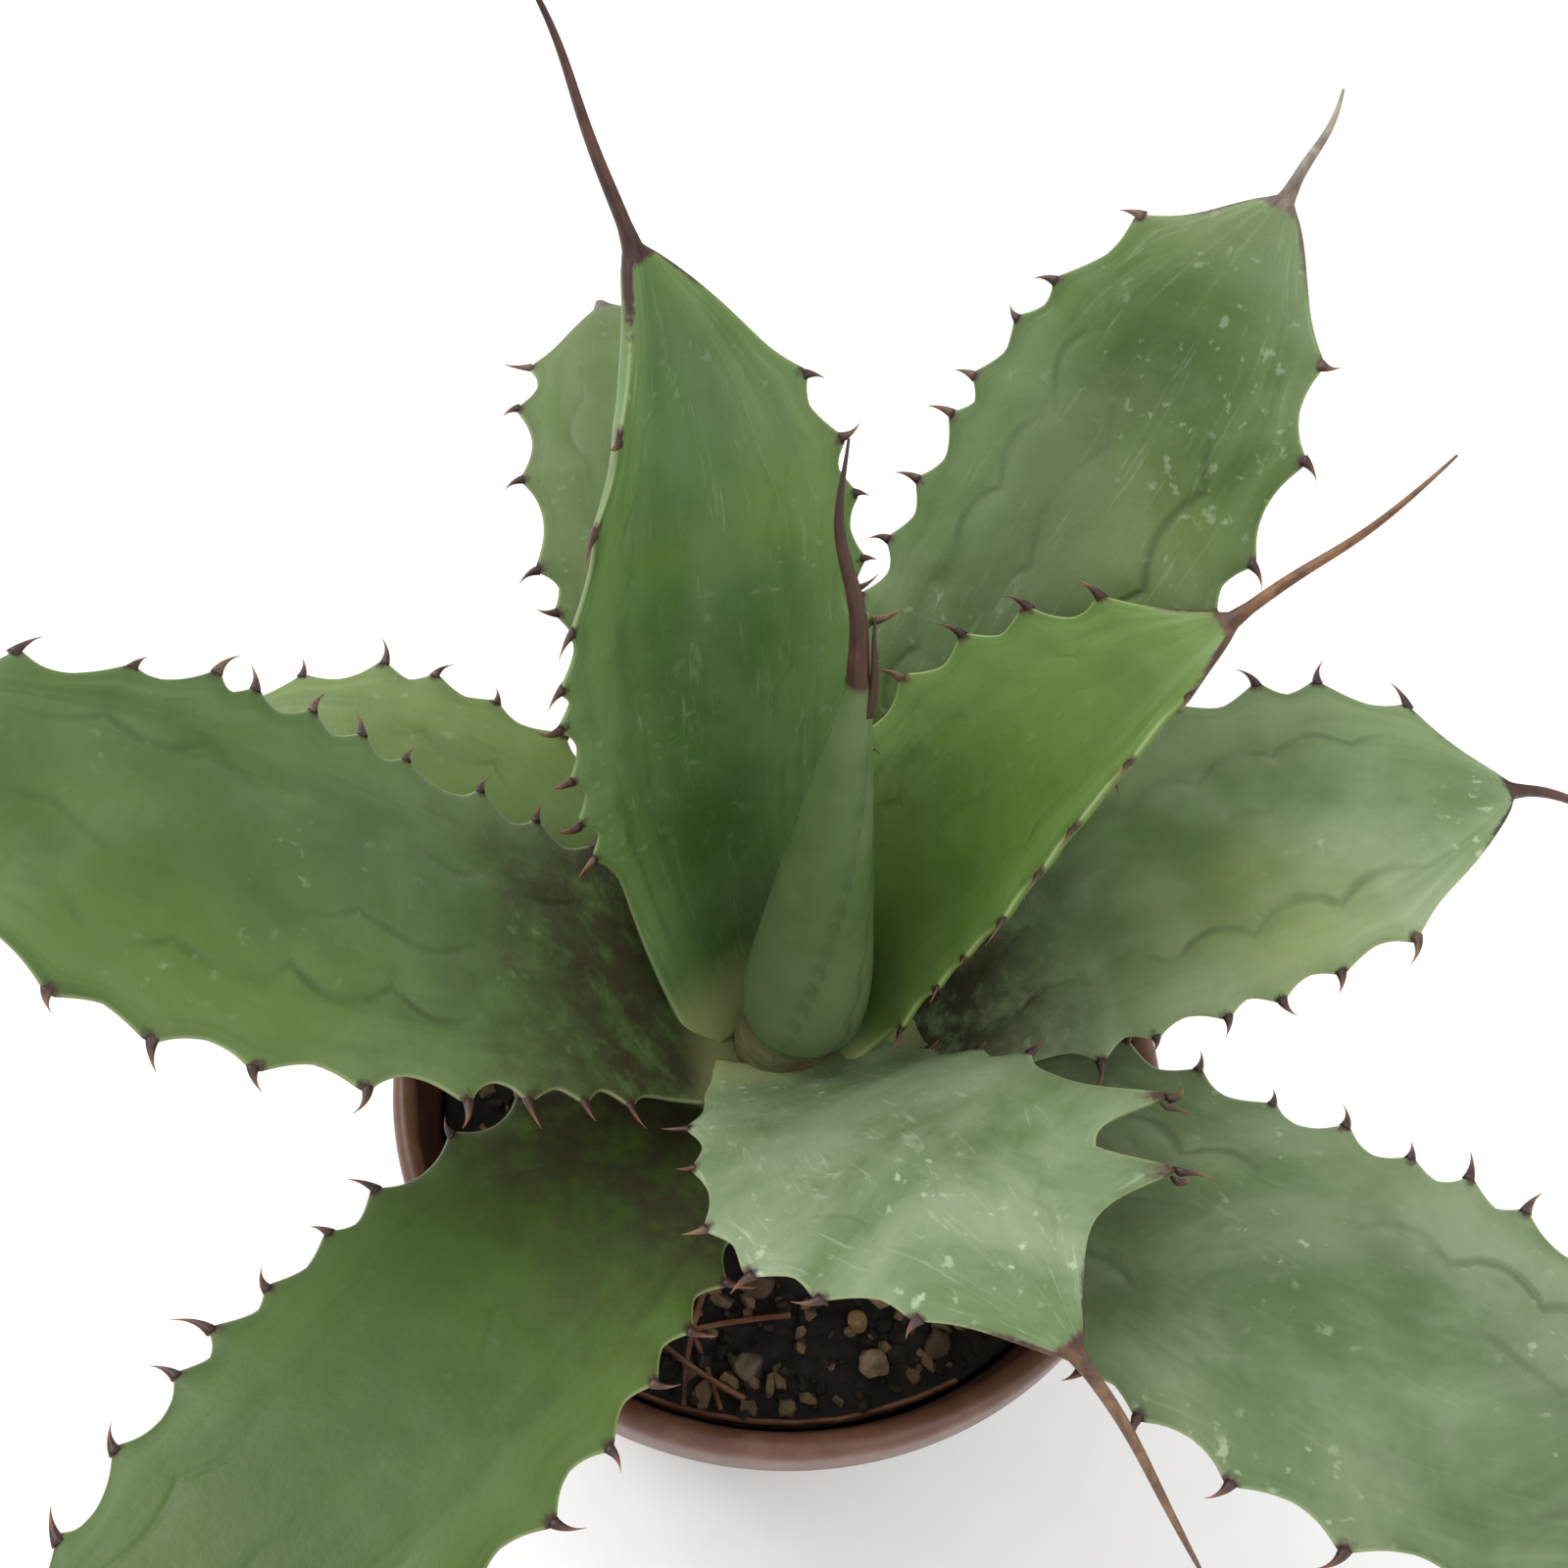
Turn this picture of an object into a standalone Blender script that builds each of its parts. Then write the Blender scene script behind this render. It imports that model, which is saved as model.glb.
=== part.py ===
"""A potted agave: a turned nursery pot, soil with grit and dry needles, and ten toothed leaves round a spear.

Metres, +Z up. The origin is the centre of the pot's underside.
Headings turn anticlockwise from +X, seen from above.
"""

import math
import random
from typing import NamedTuple

import bmesh
import bpy
from mathutils import Matrix, Vector

# Clearance between pieces that touch
GAP = 0.0003

# Pot
POT_HEIGHT = 0.100
POT_RIM_RADIUS = 0.070
POT_BASE_RADIUS = 0.0455
POT_WALL = 0.0016
POT_FLOOR = 0.0020
LIP_OVERHANG = 0.0028
LIP_DEPTH = 0.0090
FOOT_DISC_RADIUS = 0.020
FOOT_RING_WIDTH = 0.009
FOOT_HEIGHT = 0.0025
DRAIN_HOLES = 8
DRAIN_RADIUS = 0.0035
POT_SIDES = 48

# Soil
SOIL_DROP = 0.014
SOIL_ROUGHNESS = 0.0008
RIPPLE = 180.0  # radians of ripple in each metre of soil
SOIL_SIDES = 48

# Stem and central spear
STEM_RADIUS = 0.0100
STEM_BURIED = 0.018
STEM_RISE = 0.034
SPEAR_RADIUS = 0.0122
SPEAR_NECK_RADIUS = 0.0030
SPEAR_LENGTH = 0.088
SPEAR_SPINE = 0.042
SPEAR_FOOT = Vector((0.002, 0.0, 0.0))
SPEAR_LEAN = Vector((0.0, 0.0, 1.0))
SPEAR_SPINE_LEAN = Vector((-0.16, 0.0, 1.0))

# What every leaf shares
LEAF_THICKNESS = 0.0052
LEAF_BASE_THICKNESS = 0.0080
UPPER_SHARE = 0.38  # share of the blade's thickness above its midrib line
LEAF_ROOT_DEPTH = 0.003
SPINE_ROOT_RADIUS = 0.0016
SPINE_END_RADIUS = 0.0003
TOOTH_HEIGHT = 0.0046
TOOTH_HALF_BASE = 0.0024
TOOTH_SPACING = 0.0120
LOBE_LEAN = 0.8  # how far an outgrown tooth leans forward, as a share of its height
ROW_STEP = 0.0090
LEAST_STEP = 0.0010

# Litter on the soil
GRIT_STONES = 26
GRIT_RADIUS = 0.0030
NEEDLE_RADIUS = 0.0005
NEEDLE_STEPS = 8
LITTER_LIFT = 0.0007  # room over the soil's facets for what lies on it


class Leaf(NamedTuple):
    """One leaf. Each three-part value is for the base, the middle and the tip. Angles are in degrees."""

    name: str
    heading: tuple
    rise: tuple
    length: float
    width: float
    foot: float  # height of the base's underside above the soil
    cup: tuple = (45, 18, 14)  # half angle of the channel across the blade
    twist: tuple = (0, 0, 0)
    neck: float = 0.62  # width at the base, as a share of the width
    belly: float = 0.62  # share of the length at which the blade is widest
    taper: float = 2.3  # how blunt the end is
    spine: float = 0.024
    spine_heading: float = 0
    spine_rise: float = 0
    lobes: tuple = ()  # (side, share of the length, height) of each outgrown tooth


# From the innermost leaf to the outermost: each is kept clear of those before it
LEAVES = [
    Leaf(
        "leaf_upright_right", (50, 25, 20), (60, 60, 40), 0.110, 0.048, 0.011,
        cup=(60, 50, 55), belly=0.52, taper=1.8, spine=0.038, spine_heading=30, spine_rise=45,
    ),
    Leaf(
        "leaf_upright_left", (130, 125, 145), (50, 80, 60), 0.148, 0.050, 0.010,
        cup=(60, 25, 60), twist=(0, 0, 10), taper=2.0, spine=0.036, spine_heading=140, spine_rise=55,
    ),
    Leaf(
        "leaf_front", (-75, -55, -50), (60, 40, -5), 0.094, 0.056, 0.010,
        cup=(50, 10, 35), neck=0.50, belly=0.60, taper=1.1, spine=0.036, spine_heading=-45, spine_rise=-45,
        lobes=((1, 0.68, 0.014), (1, 0.80, 0.013)),
    ),
    Leaf(
        "leaf_left", (180, 195, 150), (50, 40, 15), 0.160, 0.056, 0.005,
        cup=(50, 10, 20), spine_heading=165, spine_rise=-10,
    ),
    Leaf(
        "leaf_upper_right", (70, 50, 50), (45, 60, 50), 0.166, 0.052, 0.004,
        cup=(50, 10, 25), belly=0.68, taper=2.7, spine=0.017, spine_heading=70, spine_rise=40,
    ),
    Leaf(
        "leaf_lower_right", (-20, -35, -5), (35, 20, 5), 0.160, 0.058, 0.003,
        cup=(45, 10, 20), twist=(5, -5, 10), neck=0.66, spine_heading=-30, spine_rise=-15,
    ),
    Leaf(
        "leaf_lower_left", (-130, -120, -140), (40, 15, 5), 0.156, 0.050, 0.002,
        cup=(40, 10, 10), twist=(-5, 5, 0), belly=0.55, taper=2.5, spine_heading=-140, spine_rise=-10,
    ),
    Leaf(
        "leaf_back_left", (150, 170, 165), (40, 25, -10), 0.122, 0.050, 0.001,
        cup=(40, 20, 15), spine_heading=160, spine_rise=-40,
    ),
    Leaf(
        "leaf_back", (105, 115, 110), (40, 35, -20), 0.156, 0.050, 0.001,
        cup=(40, 20, 15), spine_heading=110, spine_rise=-60,
    ),
    Leaf(
        "leaf_right", (25, 15, 10), (35, 40, 0), 0.134, 0.050, 0.0,
        cup=(45, 10, 25), twist=(-5, 10, -10), belly=0.70, taper=2.5, spine_heading=0, spine_rise=-35,
    ),
]


# Each dry needle: where it starts and ends and how far it bows to its left, as shares of the soil's radius,
# and the layer that it lies in
NEEDLES = [
    ((-0.26, -0.64), (-0.06, -0.96), 0.016, 0),
    ((-0.35, -0.86), (0.10, -0.69), 0.024, 1),
    ((-0.13, -0.61), (-0.16, -0.97), -0.019, 2),
    ((-0.38, -0.73), (0.00, -0.94), -0.016, 3),
    ((-0.32, -0.93), (0.57, -0.80), -0.104, 0),
]


# Sizes worked out from those above
SOIL_TOP = POT_HEIGHT - SOIL_DROP
POT_THROAT = POT_RIM_RADIUS - LIP_OVERHANG - POT_WALL
FLOOR_TOP = FOOT_HEIGHT + POT_FLOOR
STEM_TOP = SOIL_TOP + STEM_RISE


def clear_scene():
    for item in list(bpy.data.objects):
        bpy.data.objects.remove(item, do_unlink=True)


def material(name, colour, roughness):
    made = bpy.data.materials.new(name)
    made.use_nodes = True
    shader = made.node_tree.nodes["Principled BSDF"]
    shader.inputs["Base Color"].default_value = (*colour, 1.0)
    shader.inputs["Roughness"].default_value = roughness
    shader.inputs["Metallic"].default_value = 0.0
    return made


def add_object(name, form, look=None):
    """Puts the bmesh in the scene as one object, faces outward, and frees it."""
    bmesh.ops.recalc_face_normals(form, faces=form.faces)
    mesh = bpy.data.meshes.new(name)
    form.to_mesh(mesh)
    form.free()
    item = bpy.data.objects.new(name, mesh)
    bpy.context.scene.collection.objects.link(item)
    if look:
        mesh.materials.append(look)
    return item


def turned(profile, sides):
    """A bmesh turned about Z from (radius, height) points that start and end on the axis."""
    form = bmesh.new()
    points = [form.verts.new((radius, 0, height)) for radius, height in profile]
    edges = [form.edges.new(pair) for pair in zip(points, points[1:])]
    bmesh.ops.spin(
        form, geom=points + edges, axis=(0, 0, 1), cent=(0, 0, 0), angle=math.tau, steps=sides,
        use_merge=True,
    )
    bmesh.ops.remove_doubles(form, verts=form.verts, dist=1e-6)
    return form


def arc(centre, radius, start, end, steps):
    """Points on a circle in the (radius, height) plane, from one angle in degrees to another."""
    angles = [math.radians(start + (end - start) * step / steps) for step in range(steps + 1)]
    return [(centre[0] + radius * math.cos(a), centre[1] + radius * math.sin(a)) for a in angles]


def wall_radius(height):
    """Outside radius of the pot's wall at a height, below the lip."""
    top_radius = POT_RIM_RADIUS - LIP_OVERHANG
    return POT_BASE_RADIUS + (top_radius - POT_BASE_RADIUS) * height / POT_HEIGHT


def soil_radius():
    """Radius of the pot's inside at the top of the soil."""
    return wall_radius(SOIL_TOP) - POT_WALL


def pot_profile():
    channel_in = FOOT_DISC_RADIUS
    channel_out = POT_BASE_RADIUS - FOOT_RING_WIDTH
    slope = FOOT_HEIGHT / 2
    lip_bottom = POT_HEIGHT - LIP_DEPTH
    lip_round = (POT_RIM_RADIUS - POT_THROAT) / 2
    lip_centre = (POT_RIM_RADIUS - lip_round, POT_HEIGHT - lip_round)
    underside = [
        (0, 0),
        (channel_in, 0),
        (channel_in + slope, FOOT_HEIGHT),
        (channel_out - slope, FOOT_HEIGHT),
        (channel_out, 0),
        (POT_BASE_RADIUS - slope, 0),
        (wall_radius(slope), slope),
    ]
    outside = [
        (wall_radius(lip_bottom), lip_bottom),
        (POT_RIM_RADIUS - 0.3 * LIP_OVERHANG, lip_bottom),
        (POT_RIM_RADIUS, lip_bottom + 0.3 * LIP_OVERHANG),
    ]
    lip = arc(lip_centre, lip_round, 0, 180, 6)
    inside = [
        (wall_radius(lip_bottom) - POT_WALL, lip_bottom),
        (wall_radius(FLOOR_TOP) - POT_WALL, FLOOR_TOP),
        (0, FLOOR_TOP),
    ]
    return underside + outside + lip + inside


def cut(item, cutters, solver="EXACT"):
    """Takes everything in a collection away from the object for good."""
    boolean = item.modifiers.new("cut", "BOOLEAN")
    boolean.operation = "DIFFERENCE"
    boolean.operand_type = "COLLECTION"
    boolean.collection = cutters
    boolean.solver = solver
    bpy.context.view_layer.update()
    evaluated = item.evaluated_get(bpy.context.evaluated_depsgraph_get())
    result = bpy.data.meshes.new_from_object(evaluated)
    item.modifiers.clear()
    item.data = result


def new_cutters(name):
    """A collection for helper shapes, which are not pieces of the object."""
    made = bpy.data.collections.new(name)
    bpy.context.scene.collection.children.link(made)
    return made


def add_cutter(cutters, name, form):
    cutter = add_object(name, form)
    bpy.context.scene.collection.objects.unlink(cutter)
    cutters.objects.link(cutter)


def remove_cutters(cutters):
    for cutter in list(cutters.objects):
        bpy.data.objects.remove(cutter, do_unlink=True)
    bpy.data.collections.remove(cutters)


def make_pot():
    look = material("pot_plastic", (0.33, 0.12, 0.075), 0.45)
    pot = add_object("pot", turned(pot_profile(), POT_SIDES), look)
    ring = (FOOT_DISC_RADIUS + POT_BASE_RADIUS - FOOT_RING_WIDTH) / 2
    drills = new_cutters("drills")
    for index in range(DRAIN_HOLES):
        angle = math.tau * index / DRAIN_HOLES
        drill = bmesh.new()
        place = Matrix.Translation((ring * math.cos(angle), ring * math.sin(angle), FLOOR_TOP / 2))
        bmesh.ops.create_cone(
            drill, cap_ends=True, segments=16, radius1=DRAIN_RADIUS, radius2=DRAIN_RADIUS,
            depth=2 * FLOOR_TOP, matrix=place,
        )
        add_cutter(drills, "drill", drill)
    cut(pot, drills)
    remove_cutters(drills)
    pot.data.shade_smooth()
    pot.data.set_sharp_from_angle(angle=math.radians(40))


def soil_height(x, y):
    """Height of the soil's uneven top, which swells a little towards the stem."""
    share = math.hypot(x, y) / POT_THROAT
    ripple = math.sin(x * RIPPLE + 1.3) * math.cos(y * RIPPLE - 0.6)
    return SOIL_TOP + SOIL_ROUGHNESS * (ripple + 2.0 * (1 - share))


def make_soil():
    look = material("soil_mix", (0.028, 0.020, 0.014), 0.95)
    side_top = SOIL_TOP - SOIL_ROUGHNESS
    socket = STEM_RADIUS + GAP
    socket_floor = SOIL_TOP - STEM_BURIED - GAP
    wall_gap = POT_WALL + GAP
    edge = wall_radius(side_top) - wall_gap
    steps = 6
    top = [(edge + (socket - edge) * step / steps, SOIL_TOP) for step in range(1, steps + 1)]
    profile = [
        (0, FLOOR_TOP + GAP),
        (wall_radius(FLOOR_TOP) - wall_gap, FLOOR_TOP + GAP),
        (edge, side_top),
        *top,
        (socket, socket_floor),
        (0, socket_floor),
    ]
    form = turned(profile, SOIL_SIDES)
    for vert in form.verts:
        if vert.co.z > side_top + 1e-6:
            vert.co.z = soil_height(vert.co.x, vert.co.y)
    add_object("soil", form, look)


def stem_form(margin):
    """The stem, or with a margin the room that it needs."""
    radius = STEM_RADIUS + margin
    top = STEM_TOP + margin
    profile = [
        (0, SOIL_TOP - STEM_BURIED - margin),
        (radius, SOIL_TOP - STEM_BURIED - margin),
        (radius, top - STEM_RISE),
        (0.94 * radius, top - 0.3 * STEM_RISE),
        (0.80 * radius, top),
        (0, top),
    ]
    return turned(profile, 24)


def make_stem():
    look = material("stem_bark", (0.30, 0.25, 0.14), 0.8)
    stem = add_object("stem", stem_form(0), look)
    stem.data.shade_smooth()
    stem.data.set_sharp_from_angle(angle=math.radians(40))


def skin(form, rings):
    """Triangles between rings of equal count; returns the first and the last ring's vertices.

    Each piece and the room cut for it split their four-sided patches the same way, so the gap stays even.
    """
    loops = [[form.verts.new(point) for point in ring] for ring in rings]
    count = len(loops[0])
    for low, high in zip(loops, loops[1:]):
        for index in range(count):
            after = (index + 1) % count
            form.faces.new((low[index], low[after], high[after]))
            form.faces.new((low[index], high[after], high[index]))
    return loops[0], loops[-1]


def cap_with_point(form, loop, point):
    pole = form.verts.new(point)
    for index, vert in enumerate(loop):
        form.faces.new((pole, loop[(index + 1) % len(loop)], vert))


def cap_across(form, loop):
    """Closes a blade's ring with strips between its upper and lower points, to suit its curved section."""
    left, upper, right, lower = loop[0], loop[1:4], loop[4], loop[7:4:-1]
    form.faces.new((left, upper[0], lower[0]))
    for index in range(2):
        form.faces.new((upper[index], upper[index + 1], lower[index + 1]))
        form.faces.new((upper[index], lower[index + 1], lower[index]))
    form.faces.new((right, lower[2], upper[2]))


def spear_radius(share):
    """Radius of the closed spear at a share of its length, fullest just above its foot."""
    foot = 0.84 + 0.16 * math.sin(math.pi / 2 * min(share / 0.12, 1))
    return SPEAR_NECK_RADIUS + (SPEAR_RADIUS - SPEAR_NECK_RADIUS) * foot * (1 - share) ** 1.15


def spear_form(margin):
    """The closed spear and its end spine, or with a margin the room that it needs."""
    centre = SPEAR_FOOT + Vector((0, 0, STEM_TOP + GAP - margin))
    start = centre.copy()
    stations = [(centre.copy(), spear_radius(0))]
    spear_shares = (0, 0.06, 0.14, 0.26, 0.38, 0.52, 0.66, 0.82, 1)
    for low, high in zip(spear_shares, spear_shares[1:]):
        centre += SPEAR_LEAN.normalized() * (high - low) * SPEAR_LENGTH
        stations.append((centre.copy(), spear_radius(high)))
    spine_shares = (0, 0.12, 0.35, 0.65, 0.97)
    for low, high in zip(spine_shares, spine_shares[1:]):
        centre += SPEAR_SPINE_LEAN.normalized() * (high - low) * SPEAR_SPINE
        taper = (SPINE_ROOT_RADIUS - SPINE_END_RADIUS) * (1 - high) ** 0.8
        stations.append((centre.copy(), SPINE_END_RADIUS + taper))
    rings = []
    for middle, radius in stations:
        angles = [math.tau * side / 12 for side in range(12)]
        reach = radius + margin
        rings.append([middle + reach * Vector((math.cos(a), math.sin(a), 0)) for a in angles])
    form = bmesh.new()
    first, last = skin(form, rings)
    cap_with_point(form, first, start)
    cap_with_point(form, last, centre + Vector((0, 0, 2 * SPINE_END_RADIUS + margin)))
    return form


def make_spear():
    look = material("spear_skin", (0.20, 0.27, 0.13), 0.5)
    spear = add_object("central_spear", spear_form(0), look)
    spear.data.shade_smooth()


def blend(values, share):
    """A smooth value at a share of the length, from its values at the base, the middle and the tip."""
    base, middle, tip = values
    from_base = base * (1 - share) * (1 - 2 * share)
    from_middle = middle * 4 * share * (1 - share)
    from_tip = tip * share * (2 * share - 1)
    return from_base + from_middle + from_tip


def direction(heading, rise):
    level = math.cos(math.radians(rise))
    x = level * math.cos(math.radians(heading))
    y = level * math.sin(math.radians(heading))
    return Vector((x, y, math.sin(math.radians(rise))))


def axes_at(leaf, share):
    """The way forward, to the left edge and out of the upper face."""
    heading = blend(leaf.heading, share)
    forward = direction(heading, blend(leaf.rise, share))
    left = direction(heading + 90, 0)
    turn = Matrix.Rotation(math.radians(blend(leaf.twist, share)), 3, forward)
    return forward, turn @ left, turn @ forward.cross(left)


def half_width(leaf, share):
    if share < leaf.belly:
        swell = (1 - math.cos(math.pi * share / leaf.belly)) / 2
        fullness = leaf.neck + (1 - leaf.neck) * swell
    else:
        fullness = 1 - ((share - leaf.belly) / (1 - leaf.belly)) ** leaf.taper
    return SPINE_ROOT_RADIUS + (leaf.width / 2 - SPINE_ROOT_RADIUS) * fullness


def thickness(share):
    """Thickness along the midrib: thick at the base, then even, then thin towards the spine."""
    tip = 2 * SPINE_ROOT_RADIUS
    swell = max(0.0, 1 - share / 0.35) ** 2
    blade = tip + (LEAF_THICKNESS - tip) * (1 - share**3)
    return blade + (LEAF_BASE_THICKNESS - LEAF_THICKNESS) * swell


def teeth_on(leaf, side):
    """(share, height, lean) of each tooth on one edge, at uneven steps, and of the leaf's lobes there."""
    chance = random.Random(f"{leaf.name} {side}")
    teeth = []
    along = leaf.length * chance.uniform(0.22, 0.28)
    while along < leaf.length * 0.93:
        height = TOOTH_HEIGHT * chance.uniform(0.7, 1.15)
        teeth.append((along / leaf.length, height, chance.uniform(-0.5, 0.5) * height))
        along += TOOTH_SPACING * chance.uniform(0.7, 1.3)
    lobes = [(share, height, LOBE_LEAN * height) for where, share, height in leaf.lobes if where == side]
    room = 1.5 * TOOTH_SPACING / leaf.length
    teeth = [tooth for tooth in teeth if all(abs(tooth[0] - lobe[0]) > room / 2 for lobe in lobes)]
    return teeth + lobes


def tooth_reach(leaf, teeth, share):
    """How far the edge stands out at a share of the length, and how far it leans forward."""
    for place, height, lean in teeth:
        half_base = TOOTH_HALF_BASE * max(1.0, height / TOOTH_HEIGHT * 0.8)
        near = 1 - abs(share - place) * leaf.length / half_base
        if near > 0:
            return height * near**1.3, lean * near
    return 0.0, 0.0


def row_shares(leaf, teeth):
    """Shares of the length where the leaf has a ring: each tooth's tip and feet, then even steps."""
    foot = TOOTH_HALF_BASE / leaf.length
    tips = [place for place, _, _ in teeth]
    feet = [place + way * foot for place, _, _ in teeth for way in (-1, 1)]
    steps = round(leaf.length / ROW_STEP)
    even = [step / steps for step in range(steps + 1)]
    rows = [0.0, 1.0]
    least = LEAST_STEP / leaf.length
    for group, room in ((tips, least), (feet, 1.5 * least), (even, 3 * least), ([0.97, 0.985], least)):
        for share in group:
            if all(abs(share - row) > room for row in rows):
                rows.append(share)
    return sorted(rows)


def ring_points(centre, axes, half, cup, thick, reaches, margin):
    """Eight points round the blade, from the left edge over the upper face and back under the lower face."""
    forward, left, up = axes
    ring = []
    for across, face in ((1, 0), (0.6, 1), (0, 1), (-0.6, 1), (-1, 0), (-0.6, -1), (0, -1), (0.6, -1)):
        turn = cup * across
        outward = left * math.cos(turn) + up * math.sin(turn)
        normal = up * math.cos(turn) - left * math.sin(turn)
        radius = half / cup
        point = centre + left * radius * math.sin(turn) + up * radius * (1 - math.cos(turn))
        if face:
            share = thick[0] if face > 0 else thick[1]
            point += normal * face * (share * (1.0 if across == 0 else 0.82) + margin)
        else:
            reach, lean = reaches[0] if across > 0 else reaches[1]
            point += outward * across * (reach + 1.5 * margin) + forward * lean
        ring.append(point)
    return ring


def leaf_root(leaf):
    """Where the midrib starts, a little inside the stem."""
    heading = direction(leaf.heading[0], 0)
    height = SOIL_TOP + GAP + leaf.foot + (1 - UPPER_SHARE) * LEAF_BASE_THICKNESS
    return heading * (STEM_RADIUS - LEAF_ROOT_DEPTH) + Vector((0, 0, height))


def leaf_form(leaf, margin):
    """The leaf with its teeth and spine, or with a margin the room that it needs."""
    left_teeth = teeth_on(leaf, 1)
    right_teeth = teeth_on(leaf, -1)
    shares = row_shares(leaf, left_teeth + right_teeth)
    centre = leaf_root(leaf)
    rings = []
    last = 0.0
    for share in shares:
        centre = centre + axes_at(leaf, (share + last) / 2)[0] * (share - last) * leaf.length
        last = share
        thick = thickness(share)
        even = max(0.0, (share - 0.9) / 0.1)
        upper = UPPER_SHARE + (0.5 - UPPER_SHARE) * even
        cup = math.radians(max(1.0, blend(leaf.cup, share)))
        reaches = (tooth_reach(leaf, left_teeth, share), tooth_reach(leaf, right_teeth, share))
        halves = (thick * upper, thick * (1 - upper))
        axes = axes_at(leaf, share)
        rings.append(ring_points(centre, axes, half_width(leaf, share), cup, halves, reaches, margin))
    rings += spine_rings(leaf, centre, margin)
    if margin:
        back = axes_at(leaf, 0)[0] * margin
        rings.insert(0, [point - back for point in rings[0]])
    form = bmesh.new()
    first, last = skin(form, rings)
    cap_across(form, first)
    cap_with_point(form, last, sum(rings[-1], Vector()) / len(rings[-1]))
    return form


def spine_rings(leaf, centre, margin):
    """Rings along the end spine, which swings from the blade's way to its own."""
    forward, left, up = axes_at(leaf, 1)
    own = direction(leaf.spine_heading, leaf.spine_rise)
    steps = 7
    rings = []
    for step in range(1, steps + 1):
        share = step / steps
        way = forward.lerp(own, share).normalized()
        centre = centre + way * leaf.spine / steps
        side = (left - way * left.dot(way)).normalized()
        radius = SPINE_END_RADIUS + (SPINE_ROOT_RADIUS - SPINE_END_RADIUS) * (1 - share) ** 0.8
        axes = (way, side, way.cross(side))
        rings.append(ring_points(centre, axes, radius, 0.02, (radius, radius), ((0, 0), (0, 0)), margin))
    return rings


def connected(start):
    """Every vertex that edges join to this one."""
    body = {start}
    waiting = [start]
    while waiting:
        vert = waiting.pop()
        for edge in vert.link_edges:
            other = edge.other_vert(vert)
            if other not in body:
                body.add(other)
                waiting.append(other)
    return body


def keep_largest_body(item):
    """Drops the off-cuts that trimming leaves."""
    form = bmesh.new()
    form.from_mesh(item.data)
    unseen = set(form.verts)
    keep = set()
    while unseen:
        body = connected(next(iter(unseen)))
        unseen -= body
        keep = max(keep, body, key=len)
    bmesh.ops.delete(form, geom=[vert for vert in form.verts if vert not in keep], context="VERTS")
    form.to_mesh(item.data)
    form.free()


def make_leaves():
    """Each leaf is trimmed clear of the stem, the spear and the leaves inside it: their bases press close."""
    look = material("leaf_skin", (0.13, 0.21, 0.07), 0.5)
    taken = new_cutters("taken")
    add_cutter(taken, "stem_room", stem_form(GAP))
    add_cutter(taken, "spear_room", spear_form(GAP))
    for leaf in LEAVES:
        item = add_object(leaf.name, leaf_form(leaf, 0), look)
        cut(item, taken, "MANIFOLD")
        keep_largest_body(item)
        item.data.shade_smooth()
        add_cutter(taken, leaf.name + "_room", leaf_form(leaf, GAP))
    remove_cutters(taken)


def needle_points(start, end, bow, layer):
    """Points along a bowed needle that follows the soil."""
    start, end, bow = Vector(start) * soil_radius(), Vector(end) * soil_radius(), bow * soil_radius()
    aside = (end - start).orthogonal().normalized()
    lift = LITTER_LIFT + NEEDLE_RADIUS + layer * (2 * NEEDLE_RADIUS + GAP)
    points = []
    for step in range(NEEDLE_STEPS + 1):
        share = step / NEEDLE_STEPS
        place = start.lerp(end, share) + aside * bow * 4 * share * (1 - share)
        points.append(Vector((place.x, place.y, soil_height(place.x, place.y) + lift)))
    return points


def make_needles():
    look = material("dry_needle", (0.28, 0.10, 0.045), 0.6)
    for number, needle in enumerate(NEEDLES, start=1):
        points = needle_points(*needle)
        curve = bpy.data.curves.new(f"dry_needle_{number}", "CURVE")
        curve.dimensions = "3D"
        curve.bevel_depth = NEEDLE_RADIUS
        curve.bevel_resolution = 1
        curve.use_fill_caps = True
        spline = curve.splines.new("POLY")
        spline.points.add(len(points) - 1)
        for slot, point in zip(spline.points, points):
            slot.co = (*point, 1)
        curve.materials.append(look)
        bpy.context.scene.collection.objects.link(bpy.data.objects.new(curve.name, curve))


def free_place(chance, index, size, taken):
    """A place near the pot's wall, more often at the front, clear of the needles and of the stones so far."""
    while True:
        spread = (-112, -25) if index % 2 else (-180, 180)
        angle = math.radians(chance.uniform(*spread))
        reach = soil_radius() * chance.uniform(0.62, 0.97) - size
        place = Vector((reach * math.cos(angle), reach * math.sin(angle)))
        if all((place - other).length > size + room + GAP for other, room in taken):
            return place


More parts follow.
